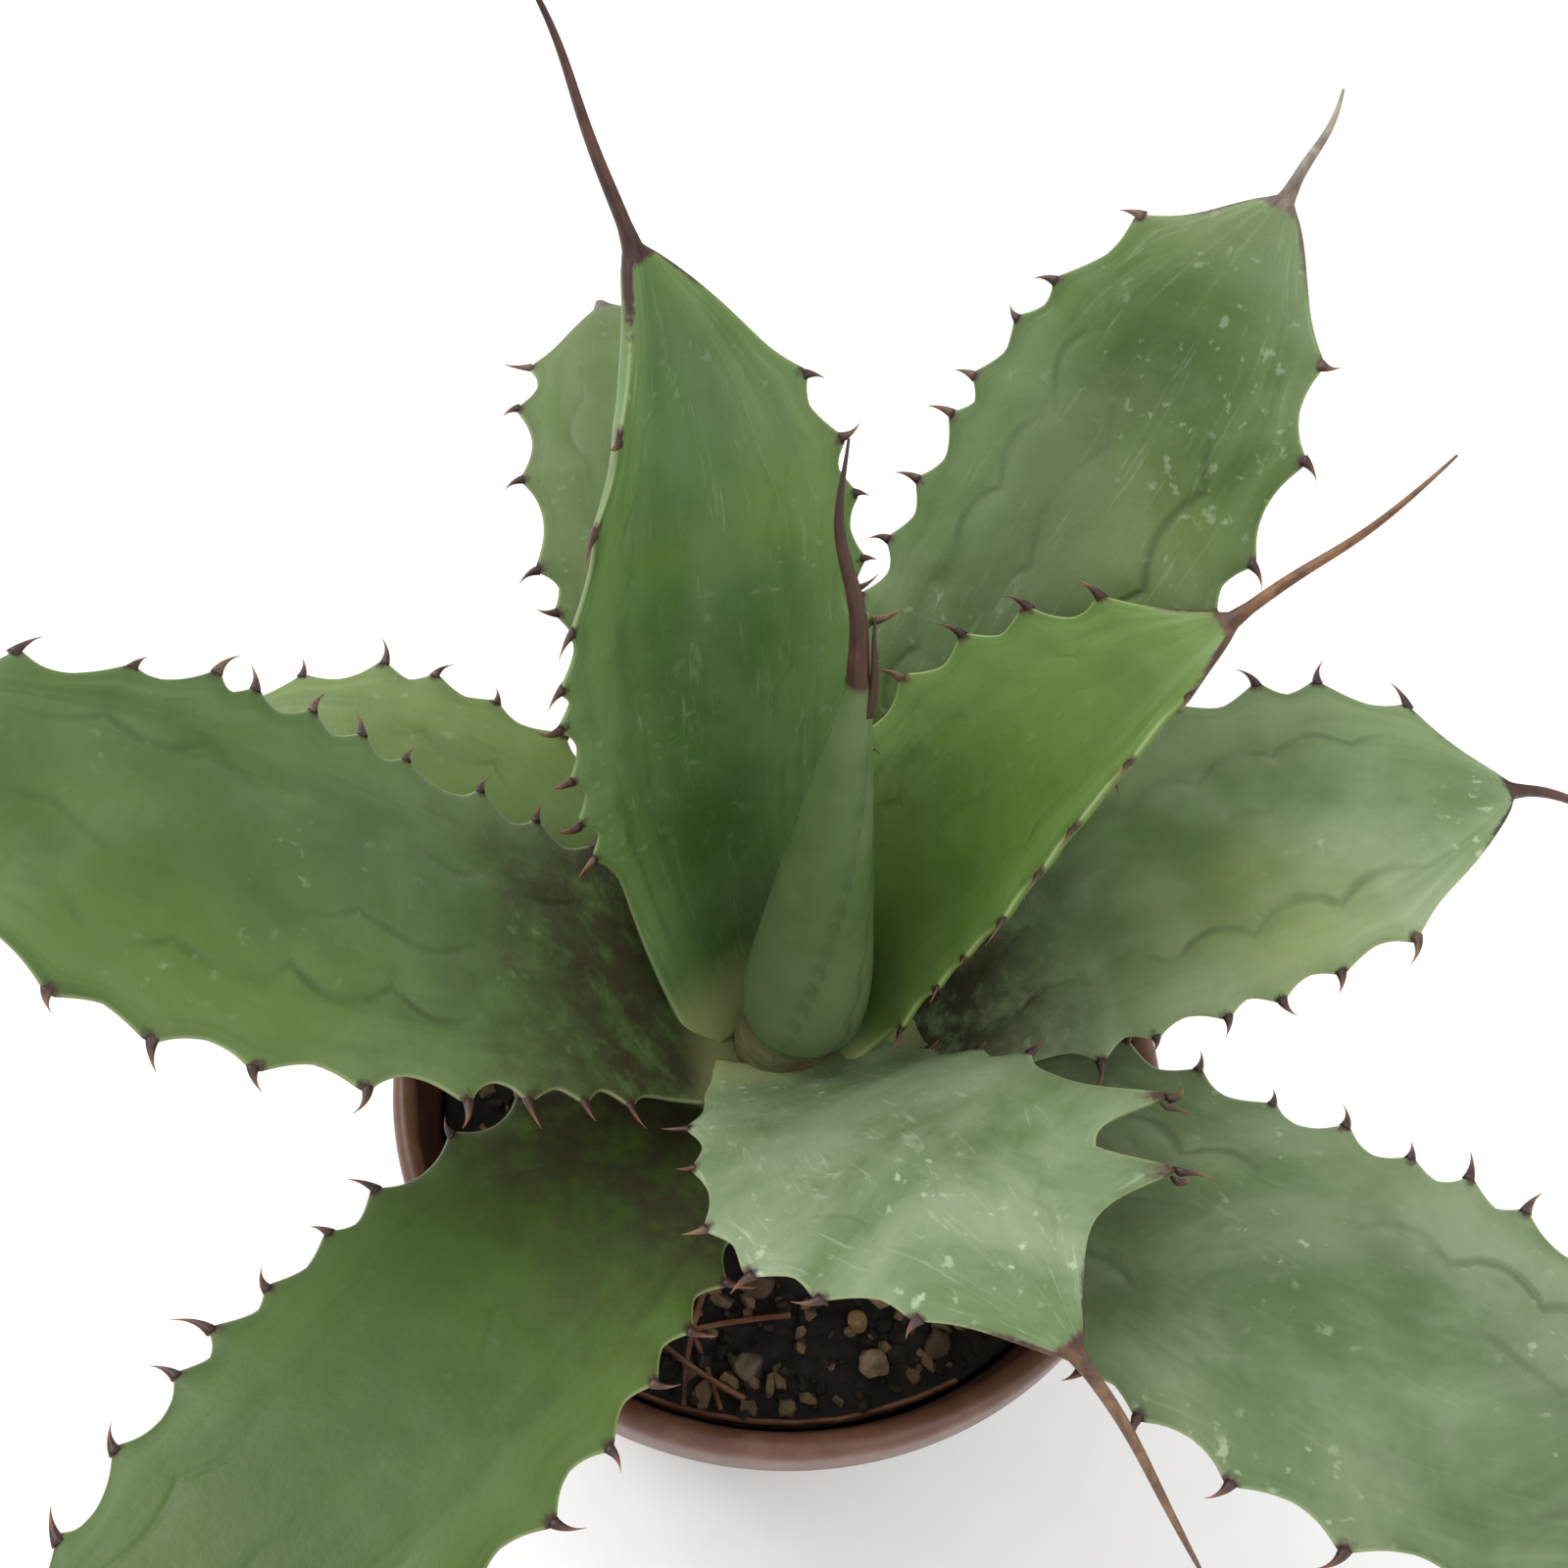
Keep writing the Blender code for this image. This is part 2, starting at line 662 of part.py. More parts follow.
def make_grit():
    """Small stones, each its own piece, lying on the soil."""
    tan, grey, pink, yellow, brown = (
        (0.22, 0.15, 0.08), (0.16, 0.13, 0.11), (0.26, 0.19, 0.14), (0.30, 0.23, 0.12), (0.12, 0.08, 0.05)
    )
    colours = (tan, grey, pink, yellow, brown)
    looks = [material(f"grit_{index}", colour, 0.85) for index, colour in enumerate(colours, start=1)]
    chance = random.Random("grit")
    taken = [(point.xy, 2 * NEEDLE_RADIUS) for needle in NEEDLES for point in needle_points(*needle)]
    for number in range(1, GRIT_STONES + 1):
        size = GRIT_RADIUS * chance.uniform(0.65, 1.25)
        place = free_place(chance, number, size, taken)
        taken.append((place, size))
        stone = bmesh.new()
        bmesh.ops.create_icosphere(stone, subdivisions=2, radius=size)
        for vert in stone.verts:
            vert.co *= chance.uniform(0.80, 1.0)
            vert.co.z *= 0.72
        turn = Matrix.Rotation(chance.uniform(0, math.tau), 4, "Z")
        reach = (-size, 0, size)
        height = max(soil_height(place.x + dx, place.y + dy) for dx in reach for dy in reach)
        shift = Matrix.Translation((place.x, place.y, height + LITTER_LIFT + 0.72 * size))
        bmesh.ops.transform(stone, matrix=shift @ turn, verts=stone.verts)
        add_object(f"grit_{number:02d}", stone, looks[number % len(looks)])


def main():
    clear_scene()
    make_pot()
    make_soil()
    make_stem()
    make_spear()
    make_leaves()
    make_needles()
    make_grit()


main()
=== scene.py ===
"""The looks of a potted agave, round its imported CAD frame: toothed leaves, spear, pot, soil and litter."""

import math
import random
from typing import NamedTuple

import bmesh
import bpy
import numpy as np
from mathutils import Matrix, Vector, noise


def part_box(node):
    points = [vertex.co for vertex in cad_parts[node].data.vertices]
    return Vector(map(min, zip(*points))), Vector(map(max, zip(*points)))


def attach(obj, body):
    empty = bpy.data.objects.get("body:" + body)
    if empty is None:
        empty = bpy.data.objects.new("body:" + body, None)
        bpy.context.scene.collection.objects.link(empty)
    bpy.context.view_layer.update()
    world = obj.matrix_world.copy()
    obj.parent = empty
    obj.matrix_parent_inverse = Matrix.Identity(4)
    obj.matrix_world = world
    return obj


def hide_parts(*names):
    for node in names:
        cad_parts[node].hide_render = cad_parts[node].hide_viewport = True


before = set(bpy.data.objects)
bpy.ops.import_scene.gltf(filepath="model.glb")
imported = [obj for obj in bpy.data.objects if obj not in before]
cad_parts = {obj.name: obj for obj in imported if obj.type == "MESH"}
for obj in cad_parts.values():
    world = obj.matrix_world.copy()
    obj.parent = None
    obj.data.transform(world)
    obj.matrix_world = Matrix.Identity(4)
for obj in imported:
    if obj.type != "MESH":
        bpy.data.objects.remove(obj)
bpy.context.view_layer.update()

MM = 0.001

# Leaf modelling
SPINE_RINGS = 7  # rings that the CAD leaf has along its end spine
SIDE_SHARE = 0.6  # where the CAD ring's side points lie between the midrib and the edge
STEP = 0.9 * MM  # distance between rows of the fine blade
FACE_COLUMNS = 34  # points across one face of the blade
SPINE_THINNING = 0.36  # the horn is finer than the CAD's, which is thickened to be made
UPPER_SHARE = 0.38  # share of the blade's thickness above its middle surface
BASE_CUP = math.radians(52)
BASE_THICKNESS = 7.6 * MM
FLESH_SHARE = 0.8  # share of a tooth's height that is fleshy margin, under the horn
LOBE_HEIGHT = 8 * MM  # a taller tooth is one of the front leaf's fleshy prongs

# Each line that a bud's toothed edge printed: its place across, scallops along the leaf, slant and weight
IMPRINTS = ((0.52, 10.5, 0.22, 1.0), (-0.58, 9.0, -0.18, 1.0), (0.05, 7.0, 0.3, 0.6))
IMPRINT_WAVE = 0.13  # how far across the leaf each scallop swings
IMPRINT_GROOVE = 0.075  # half width of the pressed groove

# Pot, soil and litter
POT_WALL = 1.6 * MM
FOOT_RING = 9 * MM  # width of the ring that the pot stands on
CHANNEL_HEIGHT = 2.5 * MM
CHANNEL_SLOPE = 1.2 * MM  # how far the channel's sides slope inwards
DISC_RADIUS = 20 * MM
DRAIN_HOLES = 8
DRAIN_RADIUS = 3.5 * MM
NECK_SHARE = 0.677  # share of the spear's height where its spine begins
SOIL_LUMPS = ((1.1, 90), (0.7, 260), (0.35, 700))  # height in millimetres and how close together
SOIL_SKIN = 1 * MM  # how far the crumbly surface lies under the CAD soil's top
CRUMBS = 1500
STONE_SUNK = 0.9 * MM  # the stones lie this much deeper than in the CAD, among the crumbs

# Camera
CAMERA_LENS = 38.6
CAMERA_TILT = 36.2  # degrees up from looking straight down
CAMERA_ROLL = 7.0
CAMERA_FROM_RIM = (-6 * MM, -141 * MM, 276 * MM)  # from the middle of the pot's rim

# Colours, as linear light
HORN_DARK = (0.035, 0.012, 0.01)
HORN_TAN = (0.11, 0.052, 0.026)
HORN_GREY = (0.17, 0.145, 0.13)
PALE_MARGIN = (0.36, 0.4, 0.18)
BLOOM = (0.4, 0.47, 0.33)
STONE_TINTS = (
    (0.27, 0.16, 0.075),
    (0.17, 0.125, 0.085),
    (0.3, 0.2, 0.12),
    (0.34, 0.215, 0.075),
    (0.12, 0.068, 0.038),
)


class Look(NamedTuple):
    """How one leaf is coloured: each weight is from 0, none, to 1, strong."""

    colour: tuple
    edge_colour: tuple
    bloom: float = 0.3
    stain: float = 0.0
    streaks: float = 0.2
    imprint: float = 0.5
    scars: float = 0.3
    horn: tuple = HORN_DARK
    wave: float = 0.5  # how far the end spine wanders from a straight line, in millimetres


LOOKS = {
    "leaf_upright_left": Look((0.066, 0.142, 0.028), (0.12, 0.205, 0.056), 0.14, 0.0, 0.4, 0.3, 0.1),
    "leaf_upright_right": Look((0.098, 0.18, 0.026), (0.13, 0.215, 0.048), 0.06, 0.0, 0.1, 0.4, 0.1,
                               HORN_TAN, 0.8),
    "leaf_front": Look((0.104, 0.168, 0.056), (0.11, 0.172, 0.064), 0.62, 0.0, 0.9, 0.3, 0.3,
                       (0.1, 0.055, 0.036)),
    "leaf_left": Look((0.048, 0.102, 0.014), (0.08, 0.142, 0.032), 0.13, 1.0, 0.05, 1.0, 1.0),
    "leaf_upper_right": Look((0.058, 0.112, 0.017), (0.092, 0.155, 0.04), 0.22, 0.0, 0.4, 1.0, 0.2,
                             HORN_GREY),
    "leaf_lower_right": Look((0.072, 0.124, 0.036), (0.102, 0.156, 0.06), 0.36, 0.6, 0.15, 1.0, 0.8),
    "leaf_lower_left": Look((0.048, 0.096, 0.012), (0.068, 0.122, 0.022), 0.02, 1.0, 0.0, 0.4, 1.0),
    "leaf_back_left": Look((0.118, 0.19, 0.04), (0.15, 0.22, 0.058), 0.1, 0.0, 0.0, 0.4, 0.2),
    "leaf_back": Look((0.088, 0.142, 0.034), (0.108, 0.165, 0.05), 0.14, 0.0, 0.1, 0.6, 0.3),
    "leaf_right": Look((0.13, 0.212, 0.072), (0.2, 0.275, 0.125), 0.5, 1.0, 0.1, 1.0, 0.8),
}


# ---- reading the frame


def cad_mesh(node):
    """A CAD node's welded vertices, as an array, and its triangles."""
    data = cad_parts[node].data
    points = np.array([vert.co for vert in data.vertices])
    unique, index = np.unique(np.round(points, 6), axis=0, return_inverse=True)
    data.calc_loop_triangles()
    faces = np.array([tri.vertices for tri in data.loop_triangles])
    return unique, index.reshape(-1)[faces]


def neighbours_of(count, faces):
    near = [set() for _ in range(count)]
    for a, b, c in faces:
        near[a] |= {b, c}
        near[b] |= {a, c}
        near[c] |= {a, b}
    return near


def walk_ring(layer, near):
    """The layer's vertices in order round the ring, or nothing where they don't make one."""
    start = min(layer)
    ring = [start]
    while len(ring) < len(layer):
        step = [other for other in near[ring[-1]] if other in layer and other not in ring]
        if not step:
            return []
        ring.append(min(step))
    return ring if start in near[ring[-1]] else []


def end_ring(layer, points):
    """The spine's last points in order of angle round their middle."""
    indices = sorted(layer)
    around = points[indices] - points[indices].mean(axis=0)
    flat_axes = np.linalg.svd(around)[2][:2]
    angles = np.arctan2(around @ flat_axes[1], around @ flat_axes[0])
    return [indices[k] for k in np.argsort(angles)]


def best_turn(ring, before, points):
    """The ring started and turned so that its points lie nearest to those of the ring before."""
    target = points[before] - points[before].mean(axis=0)
    best = None
    for order in (ring, ring[::-1]):
        for shift in range(len(ring)):
            turned = order[shift:] + order[:shift]
            gap = np.abs(points[turned] - points[turned].mean(axis=0) - target).sum()
            if best is None or gap < best[0]:
                best = (gap, turned)
    return best[1]


def leaf_rings(node):
    """The CAD leaf's eight-point rings, from the end of its spine as far as it is whole, and its points."""
    points, faces = cad_mesh(node)
    near = neighbours_of(len(points), faces)
    rim = Vector((0, 0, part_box("pot")[1].z))
    end = points[np.argmax(np.linalg.norm(points - np.array(rim), axis=1))]
    layer = {int(i) for i in np.flatnonzero(np.linalg.norm(points - end, axis=1) < 1.0 * MM)}
    seen = set(layer)
    rings = []
    while len(layer) == 8:
        ring = walk_ring(layer, near) if rings else end_ring(layer, points)
        if not ring:
            break
        rings.append(best_turn(ring, rings[-1], points) if rings else ring)
        layer = set().union(*(near[index] for index in layer)) - seen
        seen |= layer
    return [points[ring] for ring in rings], points


def edge_index(rings):
    """Which of the eight points is a side edge: the widest pair on the blade."""
    wide = [sum(np.linalg.norm(ring[k] - ring[k + 4]) for ring in rings[SPINE_RINGS:]) for k in range(4)]
    return int(np.argmax(wide))


class Section(NamedTuple):
    """One station of a leaf: its middle, side and up axes, arc half width, cup angle and thickness."""

    centre: np.ndarray
    left: np.ndarray
    up: np.ndarray
    half: float
    cup: float
    thick: float
    reach: tuple  # how far the left and the right edge stand out of the arc
    lean: tuple  # and how far each stands forward of it


def unit(vector):
    return vector / max(np.linalg.norm(vector), 1e-12)


def section_of(ring):
    """The section behind eight points in order: left edge, three upper, right edge, three lower."""
    left_side = (ring[1] + ring[7]) / 2
    right_side = (ring[3] + ring[5]) / 2
    centre = ring[6] + (ring[2] - ring[6]) * (1 - UPPER_SHARE)
    left = unit(left_side - right_side)
    up = ring[2] - ring[6]
    up = unit(up - left * up.dot(left))
    chord = np.linalg.norm(left_side - right_side) / 2
    height = ((left_side + right_side) / 2 - centre).dot(up)
    cup = max(math.radians(1.0), math.atan2(max(height, 0.0), chord) / (SIDE_SHARE / 2))
    half = chord / math.sin(SIDE_SHARE * cup) * cup
    reach, lean = [], []
    for point, way in ((ring[0], 1), (ring[4], -1)):
        edge = centre + left * way * half * math.sin(cup) / cup + up * half * (1 - math.cos(cup)) / cup
        outward = left * way * math.cos(cup) + up * math.sin(cup)
        reach.append((point - edge).dot(outward))
        lean.append((point - edge).dot(np.cross(left, up)))
    thick = np.linalg.norm(ring[2] - ring[6])
    return Section(centre, left, up, half, cup, thick, tuple(reach), tuple(lean))


def leaf_sections(node):
    """Sections of the CAD leaf from its base to the end of its spine."""
    rings, points = leaf_rings(node)
    first = edge_index(rings)
    rings = [np.roll(ring, -first, axis=0) for ring in rings]
    lift = sum(((ring[0] + ring[4]) / 2 - (ring[2] + ring[6]) / 2).dot(unit(ring[2] - ring[6]))
               for ring in rings[SPINE_RINGS + 2:])
    if lift < 0:
        rings = [ring[[4, 5, 6, 7, 0, 1, 2, 3]] for ring in rings]
    forward = rings[0].mean(axis=0) - rings[-1].mean(axis=0)
    across = rings[-1][0] - rings[-1][4]
    if np.cross(forward, across).dot(rings[-1][2] - rings[-1][6]) < 0:
        rings = [ring[[4, 3, 2, 1, 0, 7, 6, 5]] for ring in rings]
    sections = [section_of(ring) for ring in reversed(rings)]
    return extended(sections, points)


def extended(sections, points):
    """Adds sections from the last whole ring down to where the leaf's base meets the stem."""
    first = sections[0]
    radius = np.hypot(points[:, 0], points[:, 1])
    root = points[radius < radius.min() + 4 * MM].mean(axis=0)
    distance = np.linalg.norm(first.centre - root)
    forward = unit(sections[3].centre - first.centre)
    bend = first.centre - forward * distance * 0.5
    steps = max(2, round(distance / (4 * MM)))
    made = []
    left = first.left
    before = first.centre
    for step in range(1, steps + 1):
        share = step / steps
        centre = (1 - share) ** 2 * first.centre + 2 * share * (1 - share) * bend + share**2 * root
        way = unit(before - centre)
        before = centre
        left = unit(left - way * left.dot(way))
        up = unit(np.cross(way, left))
        cup = first.cup + (BASE_CUP - first.cup) * share
        thick = first.thick + (BASE_THICKNESS - first.thick) * share
        half = first.half * (1 - 0.1 * share)
        made.append(Section(centre, left, up, half, cup, thick, (0.0, 0.0), (0.0, 0.0)))
    return made[::-1] + sections


# ---- fine leaves


def smooth(values, spread):
    """Gaussian smoothing along the first axis, with the ends held."""
    reach = int(3 * spread) + 1
    weights = np.exp(-0.5 * (np.arange(-reach, reach + 1) / spread) ** 2)
    weights /= weights.sum()
    values = np.asarray(values, float)
    flat = values.reshape(len(values), -1)
    low = 2 * flat[0] - flat[1:reach + 1][::-1]
    high = 2 * flat[-1] - flat[-reach - 1:-1][::-1]
    padded = np.vstack([low, flat, high])
    out = np.array([np.convolve(padded[:, k], weights, mode="valid") for k in range(flat.shape[1])]).T
    return out.reshape(values.shape)


def resampled(sections, blade_end):
    """Even stations along the leaf: distances, centres, axes, half widths, cups, thicknesses."""
    centres = np.array([section.centre for section in sections])
    along = np.concatenate([[0], np.cumsum(np.linalg.norm(np.diff(centres, axis=0), axis=1))])
    count = int(along[-1] / STEP) + 1
    even = np.linspace(0, along[-1], count)

    def spread(values):
        values = np.array(values)
        flat = values.reshape(len(values), -1)
        return np.array([np.interp(even, along, flat[:, k]) for k in range(flat.shape[1])]).T.squeeze()

    fine = {
        "along": even,
        "centre": smooth(spread(centres), 3),
        "left": smooth(spread([section.left for section in sections]), 4),
        "up": smooth(spread([section.up for section in sections]), 4),
        "half": spread([section.half for section in sections]),
        "cup": smooth(spread([section.cup for section in sections]), 3),
        "thick": smooth(spread([section.thick for section in sections]), 2),
        "blade": along[blade_end],
    }
    soft = smooth(fine["half"], 3)
    tip = np.clip((even - fine["blade"] + 8 * MM) / (6 * MM), 0, 1)
    slender = 1 - SPINE_THINNING * np.clip((even - fine["blade"] + 2 * MM) / (5 * MM), 0, 1)
    fine["half"] = (soft * (1 - tip) + fine["half"] * tip) * slender
    fine["thick"] = fine["thick"] * slender
    return fine, along


def teeth_of(sections, along, side, blade_end):
    """(distance along, height, lean) of each tooth on one edge of the CAD leaf."""
    reaches = [section.reach[side] for section in sections]
    teeth = []
    for index in range(1, blade_end):
        if reaches[index] > 1.6 * MM and reaches[index] >= max(reaches[index - 1], reaches[index + 1]):
            teeth.append((along[index], reaches[index], sections[index].lean[side]))
    return teeth


def is_lobe(height):
    return height > LOBE_HEIGHT


def margin_shape(fine, teeth):
    """How far the fleshy margin stands out and leans forward at each station, and how horny it is."""
    along = fine["along"]
    reach, lean, horny = np.zeros((3, len(along)))
    for place, height, forward in teeth:
        spread = 3.0 * MM if is_lobe(height) else 3.2 * MM
        bump = np.exp(-np.abs((along - place) / spread) ** 1.4)
        reach = np.maximum(reach, FLESH_SHARE * height * bump)
        lean += FLESH_SHARE * forward * bump
        horny = np.maximum(horny, 0.75 * np.exp(-((along - place) / (1.5 * MM)) ** 2))
        if is_lobe(height):
            reach += 2.5 * MM * np.exp(-((along - place) / (8 * MM)) ** 2)
    fade = np.clip((fine["blade"] - along) / (4 * MM), 0, 1)
    return reach * fade, lean * fade, horny


def bud_imprint(share, across, shift):
    """Depth, from 0 to 1, of the scalloped groove that a neighbour's toothed edge pressed into the leaf."""
    fade = min(1.0, max(0.0, (share - 0.16) / 0.15)) * min(1.0, max(0.0, (0.93 - share) / 0.15))
    depth = 0.0
    for place, period, lean, weight in IMPRINTS:
        wave = abs(math.sin(math.pi * (share * period + shift + place)))
        centre = place + lean * (share - 0.5) + IMPRINT_WAVE * wave
        depth = max(depth, weight * fade * math.exp(-((across - centre) / IMPRINT_GROOVE) ** 2))
    return depth


def face_columns():
    """(across, face) of each column: over the upper face from left to right, then back under."""
    angles = np.linspace(0, math.pi, FACE_COLUMNS + 1)
    upper = [(math.cos(a), 1) for a in angles]
    return upper + [(-across, -1) for across, _ in upper[1:-1]]


def spine_shift(fine, index, wave):
    """The end spine wanders a little: sideways and up, growing from its root."""
    past = fine["along"][index] - fine["blade"]
    if past <= 0:
        return np.zeros(3)
    share = past / (fine["along"][-1] - fine["blade"])
    swing = wave * MM * math.sin(2.2 * math.pi * share) * share**0.5
    lift = 0.6 * wave * MM * math.sin(3.1 * math.pi * share + 0.8) * share
    return fine["left"][index] * swing + fine["up"][index] * lift


def edge_ways(fine, index):
    """The unit axes at a station: left, up and forward."""
    left, up = unit(fine["left"][index]), unit(fine["up"][index])
    return left, up, unit(np.cross(left, up))


def blade_point(fine, index, across, face, margins, shift):
    """A point of the blade's skin, with its normal."""
    centre = fine["centre"][index] + shift
    left, up, forward = edge_ways(fine, index)
    half, cup, thick = fine["half"][index], fine["cup"][index], fine["thick"][index]
    turn = cup * across
    normal = up * math.cos(turn) - left * math.sin(turn)
    outward = left * math.cos(turn) + up * math.sin(turn)
    radius = half / cup
    point = centre + left * radius * math.sin(turn) + up * radius * (1 - math.cos(turn))
    way = 1 if across > 0 else -1
    pull = max(0.0, (abs(across) - 0.72) / 0.28) ** 1.6
    reach, lean, _ = (values[index] for values in margins[0 if across > 0 else 1])
    point = point + (outward * way * reach + forward * lean) * pull
    share = UPPER_SHARE if face > 0 else 1 - UPPER_SHARE
    fullness = max(0.0, 1 - abs(across) ** 2.6) ** 0.55
    return point + normal * face * thick * share * fullness, normal


def relief(point, share, across, face, depth):
    """How far the skin stands out or in at a point: slow swells, fine grain and the bud imprints."""
    place = Vector(point)
    swell = 0.34 * MM * noise.noise(place * 55) + 0.1 * MM * noise.noise(place * 190)
    ridge = -0.62 * MM * depth + 0.16 * MM * noise.noise(Vector((across * 9, share * 3, face * 5.0)))
    return (swell + ridge) * min(1.0, (1 - abs(across)) * 6)


def make_leaf(node, look):
    sections = leaf_sections(node)
    blade_end = len(sections) - SPINE_RINGS - 1
    fine, along = resampled(sections, blade_end)
    teeth = [teeth_of(sections, along, side, blade_end) for side in (0, 1)]
    margins = [margin_shape(fine, edge) for edge in teeth]
    columns = face_columns()
    chance = random.Random(node)
    chance_shift = chance.random()
    form = bmesh.new()
    layers = float_layers(form, "share", "across", "face", "horn")
    loops = []
    for index in range(len(fine["along"])):
        share = fine["along"][index] / fine["blade"]
        past = max(0.0, fine["along"][index] - fine["blade"])
        shift = spine_shift(fine, index, look.wave)
        loop = []
        for across, face in columns:
            point, normal = blade_point(fine, index, across, face, margins, shift)
            if past == 0:
                groove = bud_imprint(share, across, chance_shift) * look.imprint if face > 0 else 0.0
                point = point + normal * face * relief(point, share, across, face, groove)
            vert = form.verts.new(point)
            vert[layers["share"]] = share
            vert[layers["across"]] = across
            vert[layers["face"]] = face
            vert[layers["horn"]] = horn_share(fine, index, across, margins)
            loop.append(vert)
        loops.append(loop)
    close_loops(form, loops)
    add_teeth(form, layers, fine, teeth, margins, chance)
    materials = [leaf_material(node + "_skin", look, chance_shift), horn_material(node)]
    piece = add_piece(node + "_fine", form, materials)
    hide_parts(node)


def horn_share(fine, index, across, margins):
    """How horny the skin is: all of the spine, a band from it down each margin, and under each tooth."""
    before = fine["blade"] - fine["along"][index]
    if before <= 0:
        return 1.0
    edge = max(0.0, (abs(across) - 0.8) / 0.2)
    band = max(0.0, 1 - before / (16 * MM)) * edge**0.7
    cap = max(0.0, 1 - before / (3.5 * MM))
    patch = margins[0 if across > 0 else 1][2][index] * max(0.0, (abs(across) - 0.9) / 0.1)
    return max(band, cap, patch)


def bridge(form, low, high):
    """Quads between two loops of equal count."""
    for index in range(len(low)):
        after = (index + 1) % len(low)
        form.faces.new((low[index], low[after], high[after], high[index]))


def close_loops(form, loops):
    for low, high in zip(loops, loops[1:]):
        bridge(form, low, high)
    for loop in (loops[0], loops[-1]):
        form.faces.new(loop)


def level_ring(form, radius, height, sides):
    """A ring of vertices about Z."""
    angles = [math.tau * side / sides for side in range(sides)]
    return [form.verts.new((radius * math.cos(angle), radius * math.sin(angle), height)) for angle in angles]


def float_layers(form, *names):
    return {name: form.verts.layers.float.new(name) for name in names}


def add_teeth(form, layers, fine, teeth, margins, chance):
    """A hooked horn on the top of each fleshy bump."""
    for side, edge in enumerate(teeth):
        way = 1 if side == 0 else -1
        for place, height, _ in edge:
            index = int(np.argmin(np.abs(fine["along"] - place)))
            left, up, ahead = edge_ways(fine, index)
            cup, radius = fine["cup"][index], fine["half"][index] / fine["cup"][index]
            outward = left * way * math.cos(cup) + up * math.sin(cup)
            reach, lean, _ = (values[index] for values in margins[side])
            root = fine["centre"][index] + left * way * radius * math.sin(cup)
            root = root + up * radius * (1 - math.cos(cup))
            root = root + outward * (reach - 0.7 * MM) + ahead * lean
            length = (5.0 if is_lobe(height) else chance.uniform(4.4, 6.4) * height / (4.6 * MM)) * MM
            hook = chance.choice((-1, -1, 1)) * chance.uniform(0.6, 1.3)
            if is_lobe(height):
                outward = unit(outward + 0.8 * ahead)
            tooth(form, layers, root, outward, ahead, up, length, hook)
            if is_lobe(height):
                aside = root + ahead * 1.8 * MM - outward * 1.6 * MM
                tooth(form, layers, aside, unit(outward + 0.6 * ahead), ahead, up, 0.8 * length, -hook)


def tooth(form, layers, root, outward, ahead, up, length, hook):
    """A flattened cone that bends towards the leaf's tip or its base."""
    sides, steps = 8, 8
    base = min(0.9 * MM, 0.28 * length)
    loops = []
    for step in range(steps + 1):
        share = step / steps
        bend = hook * 0.4 * length * share**2.0
        centre = root + outward * length * share * (1 - 0.16 * abs(hook) * share) + ahead * bend
        radius = base * (1 - share) ** 1.3 + 0.06 * MM
        loop = []
        for side in range(sides):
            angle = math.tau * side / sides
            point = centre + ahead * radius * math.cos(angle) + up * 0.75 * radius * math.sin(angle)
            vert = form.verts.new(point)
            vert[layers["share"]] = share
            loop.append(vert)
        loops.append(loop)
    before = set(form.faces)
    close_loops(form, loops)
    for face in set(form.faces) - before:
        face.material_index = 1


# ---- materials


